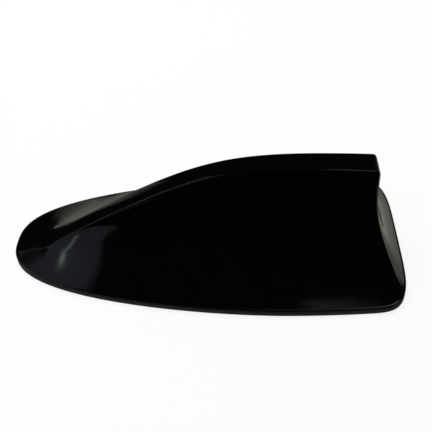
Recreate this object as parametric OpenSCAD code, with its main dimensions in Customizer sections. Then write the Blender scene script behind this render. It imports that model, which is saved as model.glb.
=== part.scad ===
// Shark fin roof aerial. Nose towards -X, tail towards +X, roof skin at z = 0.
// The origin lies on the axis of the mounting stud, in the plane of the roof skin.

/* [Body outline] */
// Length from the nose tip to the tail
body_length = 167.4; // [160:0.2:176]
// Greatest width
body_width = 81.6; // [78:0.2:86]
// Where the body is widest, as a share of its length from the nose
widest_share = 0.706; // [0.68:0.002:0.73]
// Fullness of the nose outline along the body
nose_length_power = 1.7; // [1.6:0.05:1.8]
// Fullness of the nose outline across the body
nose_width_power = 2.6; // [2.4:0.05:2.8]
// Narrowing of the tail, as a share of the width
tail_taper = 0.061; // [0.03:0.001:0.08]
// Length of the rounded tail corners
tail_corner = 19.6; // [17:0.2:21]
// Squareness of the tail corners
tail_power = 4.5; // [4:0.1:5.2]
// Distance from the nose tip to the axis of the mounting stud
stud_from_nose = 92; // [90:0.5:94]

/* [Fin] */
// Rise of the ramp for each millimetre behind the nose
ramp_slope = 0.636; // [0.61:0.002:0.66]
// Distance from the nose tip at which the ramp line meets the roof
ramp_start = 3.8; // [3:0.1:5]
// Height of the straight top line at its reference station
top_level = 50.4; // [49:0.1:53]
// Distance from the nose tip to the reference station
top_station = 125; // [120:1:130]
// Fall of the top line for each millimetre towards the tail
top_fall = 0.11; // [0.06:0.005:0.14]
// Softness of the bend from the ramp to the top line
top_blend = 25.4; // [22:0.2:27]
// Softness of the bend from the nose pad to the ramp
nose_blend = 1; // [0.6:0.1:1.4]
// Width of the strip along the ridge, carried forward to the nose tip
strip_nose_width = 6.8; // [6.4:0.1:7.4]
// Width of the strip along the ridge, carried back to the tail
strip_tail_width = 12; // [11.4:0.1:12.6]
// Height of the crown across the strip
strip_crown = 0.5; // [0.4:0.1:0.8]
// Distance ahead of the nose tip at which the fan of the strip has its centre
fan_ahead = 4; // [3:0.5:5]
// Strength of the fan; the strip is wider by this over the distance from that centre
fan_reach = 30; // [26:1:34]
// Length behind the nose tip over which the crown of the strip grows
crown_run = 40; // [38:1:42]
// Length behind the nose tip over which the bevel of the creases opens
bevel_run = 30; // [28:1:32]
// Distance from the tail forward to the upright rear edge of the fin
fin_setback = 12.6; // [12:0.2:15]
// Radius of the top rear corner of the fin
top_corner = 2; // [1:0.1:3]
// Hollowness of the flanks at the nose; 1 is flat
flank_nose_power = 1; // [0.8:0.1:1.3]
// Hollowness of the flanks at the tail
flank_tail_power = 4.4; // [4:0.1:4.6]
// Hollowness of the tail face
tail_sweep_power = 3.5; // [3:0.1:4]
// Share of the tail sweep that is a plain lean
tail_lean_share = 0.1; // [0.05:0.01:0.2]
// Half the width of the tail face at its foot
tail_face_half = 32.5; // [30:0.5:34]
// Width of the bevel that rounds the creases
crease_bevel = 0.7; // [0.4:0.1:1]

/* [Cover shell] */
// Height of the cover's rim over the roof
rim_level = 2.4; // [2.2:0.1:2.6]
// Height of the small upright lip above the rim
lip_height = 0.75; // [0.6:0.05:0.9]
// Width over which the lip rounds into the flank
lip_round = 0.8; // [0.6:0.1:1]
// Wall thickness beside the strip
cover_wall = 2; // [1.8:0.1:2.2]
// Depth of the wall under the strip
cover_roof = 2.3; // [2.1:0.1:2.5]
// Solid depth of the nose before the cavity starts
nose_solid = 14; // [13:0.5:16]
// Width of the rim along the sides
rim_width = 3.4; // [3.2:0.1:3.6]
// Width of the rim across the tail
tail_rim = 3.8; // [3.6:0.1:4.2]
// Radius of the screw bosses inside the cover
boss_r = 3; // [2.8:0.1:3.2]

/* [Gasket and base plate] */
// Height of the visible gasket band
band_height = 2.15; // [2:0.05:2.2]
// Width of the band
band_width = 3.1; // [2.9:0.1:3.2]
// Distance of the sealing bead from the outer edge
bead_inset = 0.8; // [0.6:0.1:1]
// Width of the sealing bead under the rim
bead_width = 2; // [1.6:0.1:2]
// Width of the ledge that carries the base plate
ledge_width = 5.2; // [4.8:0.1:5.4]
// Height of the ledge
ledge_height = 1.2; // [1:0.1:1.3]
// Height of the base plate's underside over the roof
plate_underside = 0.4; // [0.3:0.1:0.5]
// Gap between the base plate and the gasket round it
plate_gap = 0.2; // [0.15:0.05:0.3]
// Thickness of the ribs on the base plate
rib_width = 1.4; // [1.2:0.1:1.8]
// Height of the ribs on the base plate
rib_height = 1.8; // [1.2:0.1:2]
// Radius of the locating peg under the base plate
peg_r = 2.5; // [2:0.1:3]
// Distance from the stud axis forward to the locating peg
peg_offset = 32; // [30:0.5:34]
// Length of the locating peg below the roof face
peg_length = 3; // [2:0.5:4]

/* [Roof fastening] */
// Radius of the mounting stud
stud_r = 7; // [6.8:0.1:7.2]
// Radius of the plain neck that stands in the roof skin
neck_r = 6.6; // [6.4:0.1:6.7]
// Length of the neck below the roof face
neck_length = 2.4; // [2.2:0.1:3]
// Radius of the plain pilot end
pilot_r = 6.2; // [6:0.1:6.4]
// Length of the pilot end
pilot_length = 5; // [4:0.5:6]
// Depth of the stud's end below the roof face
stud_depth = 18; // [18:0.5:20]
// Radius of the lead bore through the stud
lead_bore_r = 4; // [3.8:0.1:4.2]
// Radius of the pocket that holds the lead gland
gland_pocket_r = 4.6; // [4.5:0.1:4.8]
// Radius over the corners of the stud's hexagonal head
head_corner_r = 11.5; // [11:0.1:12]
// Height of the stud's head
head_height = 2.6; // [2.2:0.1:2.8]
// Inner radius of the roof seal
seal_inner_r = 8.8; // [8.6:0.1:9]
// Outer radius of the roof seal
seal_outer_r = 13; // [12.6:0.1:13.4]
// Height of the roof seal
seal_height = 1.6; // [1.5:0.05:1.7]
// Outer radius of the toothed washer
washer_r = 13.5; // [13:0.1:14]
// Thickness of the toothed washer
washer_thickness = 1; // [0.8:0.1:1.2]
// Height of the washer's teeth
tooth_height = 0.8; // [0.6:0.1:0.9]
// Number of the washer's teeth
tooth_count = 8; // [6:1:10]
// Radius over the corners of the nut
nut_corner_r = 12.7; // [12.2:0.1:13]
// Height of the nut
nut_height = 7; // [6:0.5:7]

/* [Circuit board] */
// Distance from the stud axis forward to the front edge of the board
board_ahead = 36; // [35:0.5:37]
// Length of the board
board_length = 66; // [65:0.5:67]
// Width of the board
board_width = 26; // [25:0.5:27]
// Thickness of the board
board_thickness = 1.6; // [1.4:0.1:1.8]
// Height of the board's underside over the roof
board_level = 6; // [5.8:0.1:6.2]
// Distance of the board screws from its edges
board_screw_inset = 3; // [2.8:0.1:3.4]
// Side of the square satellite antenna
patch_side = 18; // [17:0.5:18.5]
// Thickness of the satellite antenna
patch_height = 4; // [3.5:0.1:4.2]
// Thickness of the adhesive pad below it
pad_height = 0.4; // [0.3:0.05:0.6]
// Distance from the board's front edge to the middle of the satellite antenna
patch_setback = 18; // [17:0.5:19]
// Length of the shield can, as a share of the board's length
can_share = 0.258; // [0.24:0.002:0.26]
// Width of the shield can
can_width = 8.6; // [8:0.1:9]
// Height of the shield can
can_height = 2.6; // [2.2:0.1:2.8]
// Sheet thickness of the shield can
can_sheet = 0.3; // [0.25:0.05:0.4]

/* [Broadcast element] */
// Distance from the board's rear edge forward to the axis of the loading coil
coil_setback = 10; // [9.5:0.5:10.5]
// Radius of the coil former
former_r = 2.6; // [2.4:0.1:2.8]
// Radius of the former's end flanges
former_flange_r = 4; // [3.9:0.1:4.2]
// Length of the coil former
former_length = 14; // [13:0.5:14.5]
// Thickness of the former's end flanges
former_flange = 0.8; // [0.6:0.1:1]
// Radius of the coil wire
wire_r = 0.35; // [0.3:0.05:0.4]
// Number of turns of the coil
coil_turns = 9; // [7:1:10]
// Radius of the contact spring's wire
spring_wire_r = 0.22; // [0.18:0.02:0.26]
// Number of turns of the contact spring
spring_turns = 4; // [3:1:5]
// Free height between the board and the coil former
spring_height = 3.6; // [3.4:0.1:3.8]
// Thickness of the upright carrier blade
blade_thickness = 3; // [2.8:0.1:3.2]
// Distance from the stud axis forward to the front of the carrier blade
blade_ahead = 4; // [2:0.5:6]
// Distance from the rear edge of the fin forward to the rear of the carrier blade
blade_setback = 5.3; // [4.8:0.1:6.3]
// Depth of the blade's top edge below the strip
blade_drop = 3.6; // [3.5:0.1:3.9]
// Sheet thickness of the top load plate
load_sheet = 0.5; // [0.4:0.1:0.6]
// Depth of the top load plate's folded sides
load_side = 4; // [3:0.5:5]
// Thickness of the telephone antenna board
phone_board = 0.8; // [0.6:0.1:1]

/* [Hidden] */

// Steps round one side of the body: nose to tail corner, round the corner, half the tail face
nose_steps = 30;
corner_steps = 7;
tail_steps = 4;
corner_k = nose_steps + corner_steps;
last_k = corner_k + 1 + tail_steps;
ring_count = 2 * last_k;
flank_rows = 11;
flank_bunching = 1.5;
strip_cells = 2 * tail_steps;
// The tail face's outermost foot point, as a share of the distance to the corner's last one
tail_share = 0.97;
round_fn = 48;
small_fn = 24;
fit_gap = 0.1;
lip_z = rim_level + lip_height;
// The tail corner's crease is cut back this far, which rounds it
corner_cut = 0.5;
// Greatest share of a flank's height, or of the strip's half width, that the bevel takes
bevel_share = 0.3;
crest_start = 1.2;
fan_softness = 3;
inner_crest_start = 17;
inner_crown = 0.6;
inner_crest_ramp = 8;
foot_share = tail_face_half / half_width(body_length);
corner_angle = acos(pow(foot_share, tail_power / 2));
corner_foot_x = corner_point(corner_angle)[0];
plate_top = rim_level;
board_top = board_level + board_thickness;
board_front = stud_from_nose - board_ahead;
board_rear = board_front + board_length;
patch_station = board_front + patch_setback;
coil_station = board_rear - coil_setback;
fin_rear = body_length - fin_setback;
blade_front = stud_from_nose - blade_ahead;
blade_rear = fin_rear - blade_setback;
leg_front = board_rear + 3;
former_base = board_top + spring_height;
former_top = former_base + former_length;
foot_bottom = plate_top + 2;
foot_top = foot_bottom + 2;
// Cover screws: distance from the nose tip and to either side, as shares of the body's length and width
screw_shares = [[0.167, 0], [0.418, 0.258], [0.669, 0.27], [0.902, 0.232]];
screw_places = [for (s = screw_shares) [s[0] * body_length, s[1] * body_width]];
screw_r = 1.45;
screw_head_r = 2.8;
screw_head_height = 1.35;
screw_top = 6.6;
boss_cover = 0.5;
// Cross recesses in the screw heads: span, width, depth
cross = [3.2, 0.6, 0.8];
small_cross = [2.2, 0.5, 0.6];
wire_gap = 0.1;
spring_r = 1.7;
// Board screws and carrier screws
small_screw_r = 1;
small_head_r = 1.9;
small_head_height = 1.2;
post_r = 2.4;
carrier_post_r = 3;
post_front = board_rear + 9;
post_rear = blade_rear - 5.5;
post_y = 6;
carrier_post_places = [for (x = [post_front, post_rear]) for (y = [-post_y, post_y]) [x, y]];
carrier_screw_places = [[post_front, post_y], [post_rear, -post_y]];
// Where the shield can starts along the board, and its distance from the board's side edge
can_start = 0.652;
can_edge = 0.8;
// Feed pin of the satellite antenna, the play round it, and its solder button
pin_r = 0.55;
pin_gap = 0.1;
button_r = 1.1;
button_height = 0.3;
// Bore of the coil former, its depth from below, and the peg on its top
former_bore_r = 1.2;
former_bore_depth = 5;
former_peg_r = 0.9;
former_peg_length = 3;
end_gap = 0.3;
// Levels just above the roof plane, so that only the gasket, the seal and the lead bore reach it
shoulder_level = 0.2;
pocket_floor = 0.4;
peg_hole_clearance = 0.05;
phone_front = leg_front + 3;
phone_rear = blade_rear - 2.5;
phone_middle = (phone_front + phone_rear) / 2;
phone_top = 30;
phone_clip = 5;
phone_peg_r = 0.8;
phone_peg_levels = [12, 24];

// Half the width of the body at a distance x behind the nose tip
function half_width(x) =
    let (s = x / body_length)
    let (ahead = max(0, 1 - s / widest_share))
    let (behind = max(0, s - widest_share) / (1 - widest_share))
    body_width / 2 * (s < widest_share
        ? pow(max(0, 1 - pow(ahead, nose_length_power)), 1 / nose_width_power)
        : 1 - tail_taper * behind * behind);

// Point of the outline on the tail's superelliptic corner
function corner_point(angle) =
    let (x = body_length - tail_corner + tail_corner * pow(sin(angle), 2 / tail_power))
    [x, half_width(x) * pow(cos(angle), 2 / tail_power)];

// One side of the outline, from the nose tip to the middle of the tail
side_outline = concat(
    [for (i = [0:nose_steps])
        let (x = (body_length - tail_corner) * pow(i / nose_steps, 2))
        [x, half_width(x)]],
    [for (i = [1:corner_steps]) corner_point(corner_angle * i / corner_steps)],
    [for (i = [0:tail_steps])
        let (share = tail_share * foot_share * (1 - i / tail_steps))
        corner_point(acos(pow(share, tail_power / 2)))]
);

// Neighbour of a point on the outline, mirrored past either end
function outline_at(k) =
    k < 0 ? [side_outline[-k][0], -side_outline[-k][1]]
    : k > last_k ? [side_outline[2 * last_k - k][0], -side_outline[2 * last_k - k][1]]
    : side_outline[k];

function outline_normal(k) =
    let (run = outline_at(k + 1) - outline_at(k - 1))
    [-run[1], run[0]] / norm(run);

function inset_point(k, d) = side_outline[k] - d * outline_normal(k);

// Closed outline set in by d
function outline(d) = concat(
    [for (k = [0:last_k]) let (p = inset_point(k, d)) [p[0] - stud_from_nose, -p[1]]],
    [for (k = [last_k - 1:-1:1]) let (p = inset_point(k, d)) [p[0] - stud_from_nose, p[1]]]
);

// Height of the ridge at a distance x behind the nose tip
function ridge_height(x) =
    let (ramp = ramp_slope * (x - ramp_start))
    let (top = top_level - top_fall * (x - top_station))
    let (lower = (ramp + top - sqrt(pow(ramp - top, 2) + top_blend * top_blend)) / 2 - lip_z)
    lip_z + (lower + sqrt(lower * lower + 4 * nose_blend * nose_blend)) / 2;

function corner_drop(x) =
    let (past = min(top_corner, max(0, x - fin_rear + top_corner)))
    top_corner - sqrt(top_corner * top_corner - past * past);

function strip_half(x) =
    (strip_nose_width + (strip_tail_width - strip_nose_width) * x / body_length) / 2;

// Half the distance between the two creases: along the rim at the nose, then a fan that narrows to the strip
function crease_half(x) =
    let (rim = 0.96 * half_width(max(0, x - crest_start)))
    let (fan = strip_half(x) + fan_reach / (x + fan_ahead))
    max(0, (rim + fan - sqrt(pow(rim - fan, 2) + fan_softness * fan_softness)) / 2);

function mixed(a, b, share) = a + (b - a) * share;

function crest_x(k) =
    let (x = side_outline[k][0])
    let (gap = corner_foot_x + crest_start - fin_rear + corner_cut)
    crest_start + x - gap * pow(x / corner_foot_x, 2);

// Point of the crease above outline point k
function crest_point(k) =
    k <= corner_k
    ? let (x = crest_x(k)) [x, crease_half(x), ridge_height(x) - corner_drop(x)]
    : let (y = (strip_half(fin_rear) - corner_cut) * (1 - (k - corner_k - 1) / tail_steps))
      [fin_rear, y, ridge_height(fin_rear) - top_corner + strip_rise(y, strip_half(fin_rear))];

function strip_rise(y, half) = strip_crown * (1 - pow(y / half, 2));

// Flank between a foot point and a crease point, hollow towards the foot
function flank_point(foot, crest, v) =
    let (u = 1 - v)
    let (power = mixed(flank_nose_power, flank_tail_power, crest[0] / body_length))
    let (sweep = mixed(pow(u, tail_sweep_power), u, tail_lean_share))
    [mixed(crest[0], foot[0], sweep), mixed(crest[1], foot[1], pow(u, power)), mixed(foot[2], crest[2], v)];

// The lip in section: shares of its rounding, from the edge in, and of its height
lip_rows = [[0.19, 0], [0, 0.33], [0.06, 0.67], [0.37, 0.91]];
// Rows of the outer skin: lip, flank, crease bevel
outer_rows = len(lip_rows) + 1 + flank_rows + 1;

function outer_point(row, k) =
    row < len(lip_rows)
    ? let (p = inset_point(k, lip_round * lip_rows[row][0]))
      [p[0], p[1], rim_level + lip_height * lip_rows[row][1]]
    : let (foot_plan = inset_point(k, lip_round))
      let (foot = [foot_plan[0], foot_plan[1], lip_z])
      let (crest = crest_point(k))
      let (share = (row - len(lip_rows)) / flank_rows)
      let (open = bevel_share * min(1, crest[0] / bevel_run))
      let (bevel_v = 1 - min(open, crease_bevel / (crest[2] - lip_z)))
      share <= 1
      ? flank_point(foot, crest, bevel_v * pow(share, flank_bunching))
      : bevelled_crest(k, crest);

// Crease point moved in along the strip by the bevel
function bevelled_crest(k, crest) =
    k > corner_k ? crest
    : let (y = crest[1] - min(crease_bevel, bevel_share * crest[1]))
      let (rise = pad_crown(crest[0]) * (1 - pow(y / max(crest[1], 0.01), 2)))
      [crest[0] + (k == 0 ? crease_bevel / 2 : 0), y, crest[2] + rise];

// Height of the flank at a distance x behind the nose tip and y from the centre line
function flank_height(x, y) =
    let (crease_y = crease_half(x))
    let (power = mixed(flank_nose_power, flank_tail_power, x / body_length))
    let (share = max(0, y - crease_y) / (half_width(x) - lip_round - crease_y))
    mixed(ridge_height(x), lip_z, pow(share, 1 / power));

// The crown grows from nothing at the nose tip
function pad_crown(x) = strip_crown * min(1, x / crown_run);

function inner_point(row, k) =
    let (p = side_outline[k])
    let (foot = [nose_solid + p[0] * (body_length - nose_solid - tail_rim) / body_length,
        p[1] * (1 - 2 * rim_width / body_width), rim_level])
    flank_point(foot, inner_crest(k), pow(row / flank_rows, flank_bunching));

function inner_crest(k) =
    let (x0 = k <= corner_k ? crest_x(k) : fin_rear)
    let (rear = fin_rear - cover_wall)
    let (x = inner_crest_start + (x0 - crest_start) * (rear - inner_crest_start) / (fin_rear - crest_start))
    let (half = strip_half(x) - cover_wall)
    let (y = k <= corner_k
        ? half * min(1, sqrt(max(0, x - inner_crest_start) / inner_crest_ramp))
        : (half - corner_cut / 2) * (1 - (k - corner_k - 1) / tail_steps))
    [x, y, ridge_height(x) - cover_roof];

// A ring runs from the nose along the near side, across the tail and back along the far side
function ring_side(r) = r <= last_k ? [r, -1] : [2 * last_k - r, 1];

function placed(p, side) = [p[0] - stud_from_nose, side * p[1], p[2]];

function ring_points(row, outer) =
    [for (r = [0:ring_count - 1])
        let (s = ring_side(r))
        placed(outer ? outer_point(row, s[0]) : inner_point(row, s[0]), s[1])];

// Points of the strip between its two edges, row by row towards the tail
function strip_points(outer) =
    [for (k = [1:corner_k])
        let (edge = outer ? outer_point(outer_rows - 1, k) : inner_point(flank_rows, k))
        let (full = outer ? crest_point(k)[1] : edge[1])
        let (crown = outer ? pad_crown(edge[0]) : inner_crown)
        let (base = outer ? edge[2] - crown * (1 - pow(edge[1] / full, 2)) : edge[2])
        for (i = [1:strip_cells - 1])
            let (y = edge[1] * (2 * i / strip_cells - 1))
            [edge[0] - stud_from_nose, y, base + crown * (1 - pow(y / full, 2))]];

// Faces between the rings of one skin
function wall_faces(first, rows, outer) =
    [for (j = [0:rows - 2])
        for (r = [0:ring_count - 1])
            let (a = first + j * ring_count + r)
            let (b = first + j * ring_count + (r + 1) % ring_count)
            let (c = b + ring_count)
            let (d = a + ring_count)
            for (f = outer ? [[a, d, c], [a, c, b]] : [[a, b, c], [a, c, d]]) f];

// Index of point i on strip row k
function strip_index(first, rows, inside, k, i) =
    let (top = first + (rows - 1) * ring_count)
    k == 0 ? top
    : k == corner_k + 1 ? top + corner_k + 1 + i
    : i == 0 ? top + k
    : i == strip_cells ? top + ring_count - k
    : inside + (k - 1) * (strip_cells - 1) + i - 1;

function turned(f, outer) = outer ? f : [f[2], f[1], f[0]];

function strip_faces(first, rows, inside, outer) =
    [for (k = [0:corner_k])
        for (i = [0:strip_cells - 1])
            let (a = strip_index(first, rows, inside, k, i))
            let (b = strip_index(first, rows, inside, k, i + 1))
            let (c = strip_index(first, rows, inside, k + 1, i + 1))
            let (d = strip_index(first, rows, inside, k + 1, i))
            for (f = k == 0 ? [[a, c, d]] : [[a, b, c], [a, c, d]]) turned(f, outer)];

function rim_faces(inner_first) =
    [for (r = [0:ring_count - 1])
        let (next = (r + 1) % ring_count)
        for (f = [[r, next, inner_first + next], [r, inner_first + next, inner_first + r]]) f];

// One closed wall: outer skin, inner skin and the rim between them
module cover_wall_shell() {
    outer_rings = [for (j = [0:outer_rows - 1]) each ring_points(j, true)];
    outer_strip = strip_points(true);
    inner_rings = [for (j = [0:flank_rows]) each ring_points(j, false)];
    inner_first = len(outer_rings) + len(outer_strip);
    inner_inside = inner_first + len(inner_rings);
    polyhedron(
        points = concat(outer_rings, outer_strip, inner_rings, strip_points(false)),
        faces = concat(
            wall_faces(0, outer_rows, true),
            strip_faces(0, outer_rows, len(outer_rings), true),
            wall_faces(inner_first, flank_rows + 1, false),
            strip_faces(inner_first, flank_rows + 1, inner_inside, false),
            rim_faces(inner_first)
        ),
        convexity = 6
    );
}

// Both sides of a place, or once where it lies on the centre line
module at_places(places) {
    for (p = places)
        for (side = p[1] == 0 ? [1] : [-1, 1])
            translate([p[0] - stud_from_nose, side * p[1], 0]) children();
}

module at_listed(places) {
    for (p = places) translate([p[0] - stud_from_nose, p[1], 0]) children();
}

module tube(z0, z1, outer_r, inner_r, fn = round_fn) {
    translate([0, 0, z0]) difference() {
        cylinder(h = z1 - z0, r = outer_r, $fn = fn);
        translate([0, 0, -1]) cylinder(h = z1 - z0 + 2, r = inner_r, $fn = fn);
    }
}

module rod(z0, z1, r, fn = round_fn) {
    translate([0, 0, z0]) cylinder(h = z1 - z0, r = r, $fn = fn);
}

module block(x0, x1, y0, y1, z0, z1) {
    translate([x0 - stud_from_nose, y0, z0]) cube([x1 - x0, y1 - y0, z1 - z0]);
}

// Flat slab that follows the body outline, between two heights
module slab(z0, z1, d) {
    translate([0, 0, z0]) linear_extrude(z1 - z0) polygon(outline(d));
}

module band(z0, z1, d0, d1) {
    translate([0, 0, z0]) linear_extrude(z1 - z0) difference() {
        polygon(outline(d0));
        polygon(outline(d1));
    }
}

// Round wire wound on a vertical axis, with flat end turns where it has to seat
module helix(z0, z1, coil_r, thickness, turns, steps = 16, flat_turns = 0) {
    sides = 6;
    count = turns * steps;
    flat = flat_turns * steps;
    rise = (z1 - z0 - 2 * thickness) / (count - 2 * flat);
    points = [for (i = [0:count])
        for (j = [0:sides - 1])
            let (a = 360 * i / steps)
            let (b = 360 * (j + 0.5) / sides)
            let (r = coil_r + thickness * cos(b))
            let (z = rise * min(count - 2 * flat, max(0, i - flat)))
            [r * cos(a), r * sin(a), z0 + thickness + z + thickness * sin(b)]];
    skin = [for (i = [0:count - 1])
        for (j = [0:sides - 1])
            let (n = (j + 1) % sides)
            for (f = [[i * sides + j, i * sides + n, (i + 1) * sides + n],
                      [i * sides + j, (i + 1) * sides + n, (i + 1) * sides + j]]) f];
    ends = [[for (j = [sides - 1:-1:0]) j], [for (j = [0:sides - 1]) count * sides + j]];
    polyhedron(points = points, faces = concat(skin, ends), convexity = 10);
}

module cover() {
    color([0.03, 0.03, 0.035]) difference() {
        union() {
            cover_wall_shell();
            for (p = screw_places) at_places([p]) screw_boss(p[0], p[1]);
        }
        at_places(screw_places) rod(rim_level - 1, screw_top + fit_gap, screw_r + fit_gap / 2, small_fn);
    }
}

// Boss that ends inside the thickness of the flank above it
module screw_boss(x, y) {
    rod(rim_level, flank_height(x - boss_r, y + boss_r) - boss_cover, boss_r, small_fn);
}

module perimeter_gasket() {
    color([0.09, 0.09, 0.08]) {
        band(0, ledge_height, 0, ledge_width);
        band(ledge_height, band_height, 0, band_width);
        band(band_height, rim_level, bead_inset, bead_inset + bead_width);
    }
}

module base_plate() {
    pocket_r = head_corner_r + fit_gap;
    collar = 2.2;
    hole_floor = 0.6;
    color([0.62, 0.63, 0.64]) difference() {
        union() {
            slab(plate_underside, ledge_height, ledge_width + plate_gap);
            slab(ledge_height, plate_top, band_width + plate_gap);
            rod(plate_top, plate_top + head_height, head_corner_r + collar);
            board_places() rod(plate_top, board_level, post_r, small_fn);
            at_listed(carrier_post_places) rod(plate_top, foot_bottom, carrier_post_r, small_fn);
            translate([-peg_offset, 0, 0]) rod(-peg_length, plate_top, peg_r, small_fn);
            plate_ribs();
        }
        translate([0, 0, plate_top]) cylinder(h = head_height + 1, r = pocket_r, $fn = 6);
        rod(-1, plate_top + 1, stud_r + fit_gap);
        tube(plate_underside - 1, seal_height, seal_outer_r + fit_gap, seal_inner_r - fit_gap);
        at_places(screw_places) screw_hole();
        board_places() rod(plate_top + hole_floor, board_level + 1, small_screw_r + fit_gap / 2, small_fn);
        at_listed(carrier_screw_places)
            rod(plate_underside + hole_floor, foot_bottom + 1, small_screw_r + fit_gap / 2, small_fn);
    }
}

module screw_hole() {
    rod(plate_underside - 1, plate_top + 1, screw_r + fit_gap, small_fn);
    head = screw_head_r + 2 * fit_gap;
    translate([0, 0, plate_underside - fit_gap])
        cylinder(h = screw_head_height + fit_gap, r1 = head, r2 = screw_r + fit_gap, $fn = small_fn);
}

// Stiffening ribs: two along the plate, cross ribs between them
module plate_ribs() {
    rib_y = board_width / 2 + 4;
    rib_front = board_front - 2;
    rib_rear = blade_rear - 3.5;
    top = plate_top + rib_height;
    half = rib_width / 2;
    for (side = [-1, 1])
        block(rib_front, rib_rear, side * rib_y - half, side * rib_y + half, plate_top - 1, top);
    for (x = [rib_front, board_rear + 2, rib_rear])
        block(x - half, x + half, -rib_y, rib_y, plate_top - 1, top);
    block(screw_places[0][0] + boss_r + 1, rib_front, -half, half, plate_top - 1, top);
}

module board_places() {
    near_x = board_front + board_screw_inset;
    far_x = board_rear - board_screw_inset;
    y = board_width / 2 - board_screw_inset;
    at_places([[near_x, y], [far_x, y]]) children();
}

module cover_screws() {
    color([0.55, 0.55, 0.57]) at_places(screw_places) difference() {
        union() {
            translate([0, 0, plate_underside])
                cylinder(h = screw_head_height, r1 = screw_head_r, r2 = screw_r, $fn = small_fn);
            rod(plate_underside, screw_top, screw_r, small_fn);
        }
        cross_recess(plate_underside - 1, plate_underside + cross[2], cross);
    }
}

module cross_recess(z0, z1, cut) {
    for (a = [0, 90])
        rotate([0, 0, a]) translate([-cut[0] / 2, -cut[1] / 2, z0]) cube([cut[0], cut[1], z1 - z0]);
}

// Ring with two lips that press on the roof skin
module roof_seal() {
    lip = 0.8;
    groove = 0.7;
    color([0.1, 0.1, 0.1]) rotate_extrude($fn = 2 * round_fn) polygon([
        [seal_inner_r, 0], [seal_inner_r + lip, 0], [seal_inner_r + 1.5 * lip, groove],
        [seal_outer_r - 1.5 * lip, groove], [seal_outer_r - lip, 0], [seal_outer_r, 0],
        [seal_outer_r, seal_height], [seal_inner_r, seal_height]
    ]);
}

module mounting_stud() {
    thread_end = -stud_depth + pilot_length;
    color([0.72, 0.71, 0.66]) difference() {
        union() {
            translate([0, 0, plate_top]) cylinder(h = head_height, r = head_corner_r, $fn = 6);
            rod(shoulder_level, plate_top + 0.5, stud_r);
            rod(-neck_length - 0.5, shoulder_level + 0.5, neck_r);
            rod(thread_end, -neck_length, stud_r);
            rod(-stud_depth, thread_end + 0.5, pilot_r);
        }
        rod(-stud_depth - 1, 1, lead_bore_r);
        rod(pocket_floor, plate_top + head_height + 1, gland_pocket_r);
    }
}

// Spring washer whose upturned teeth bite into the roof skin
module toothed_washer() {
    top = -neck_length - tooth_height;
    reach = 1.2;
    width = 2;
    tip = 1;
    color([0.7, 0.69, 0.62]) {
        tube(top - washer_thickness, top, washer_r, stud_r + 2 * fit_gap);
        for (i = [0:tooth_count - 1])
            rotate([0, 0, 360 * i / tooth_count])
                translate([washer_r - reach, width / 2, top])
                    rotate([90, 0, 0])
                        linear_extrude(width) polygon([[-reach, 0], [tip, 0], [tip, tooth_height]]);
    }
}

module stud_nut() {
    top = -neck_length - tooth_height - washer_thickness;
    chamfer_r = nut_corner_r - 1;
    cone = nut_height + nut_corner_r;
    color([0.72, 0.71, 0.66]) difference() {
        intersection() {
            translate([0, 0, top - nut_height]) cylinder(h = nut_height, r = nut_corner_r, $fn = 6);
            translate([0, 0, top - nut_height])
                cylinder(h = cone, r1 = chamfer_r, r2 = chamfer_r + cone, $fn = round_fn);
        }
        rod(top - nut_height - 1, top + 1, stud_r + fit_gap / 2);
    }
}

// Rubber bung in the head of the stud, with three lead holes
module cable_gland() {
    head_top = plate_top + head_height;
    flange = [1.2, 0.8];
    lead_ring = 2.2;
    lead_r = 0.9;
    color([0.12, 0.12, 0.12]) difference() {
        union() {
            rod(pocket_floor, head_top, gland_pocket_r - fit_gap / 2);
            rod(head_top, head_top + flange[1], gland_pocket_r + flange[0]);
        }
        for (a = [90, 210, 330])
            rotate([0, 0, a]) translate([lead_ring, 0, 0]) rod(-1, head_top + 2, lead_r, small_fn);
    }
}

// Flat plate with round corners
module rounded_plate(x0, x1, width, z0, z1, r) {
    block(x0 + r, x1 - r, -width / 2, width / 2, z0, z1);
    block(x0, x1, -width / 2 + r, width / 2 - r, z0, z1);
    at_places([[x0 + r, width / 2 - r], [x1 - r, width / 2 - r]]) rod(z0, z1, r, small_fn);
}

module main_board() {
    corner = 2;
    lead_gap = 1.7;
    color([0.05, 0.3, 0.12]) difference() {
        rounded_plate(board_front, board_rear, board_width, board_level, board_top, corner);
        rod(board_level - 1, board_top + 1, gland_pocket_r + lead_gap, small_fn);
        board_places() rod(board_level - 1, board_top + 1, small_screw_r + fit_gap, small_fn);
        at_listed([[patch_station, 0]]) rod(board_level - 1, board_top + 1, pin_r + pin_gap, small_fn);
    }
}

module small_screw(head_bottom, tip) {
    head_top = head_bottom + small_head_height;
    difference() {
        union() {
            rod(head_bottom, head_top, small_head_r, small_fn);
            rod(tip, head_bottom + 0.5, small_screw_r, small_fn);
        }
        cross_recess(head_top - small_cross[2], head_top + 1, small_cross);
    }
}

module board_screws() {
    color([0.75, 0.75, 0.76]) board_places() small_screw(board_top, plate_top + 0.8);
}

// Chips and passives on the free half of the board
module board_components() {
    // Place along the board and to the side as shares of its length and width; length, width, height
    chips = [[0.697, 0.323, 7, 7, 1], [0.833, 0.315, 5, 5, 0.9], [0.598, 0.415, 3, 1.6, 0.8],
        [0.455, -0.262, 4, 3, 1.1], [0.939, 0.192, 2, 1.2, 0.7], [0.939, 0.085, 2, 1.2, 0.7],
        [0.758, 0.092, 2, 1.2, 0.7], [0.705, 0.092, 2, 1.2, 0.7]];
    color([0.08, 0.08, 0.09])
        for (c = chips)
            let (x = board_front + c[0] * board_length)
            let (y = c[1] * board_width)
            block(x - c[2] / 2, x + c[2] / 2, y - c[3] / 2, y + c[3] / 2, board_top, board_top + c[4]);
}

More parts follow.
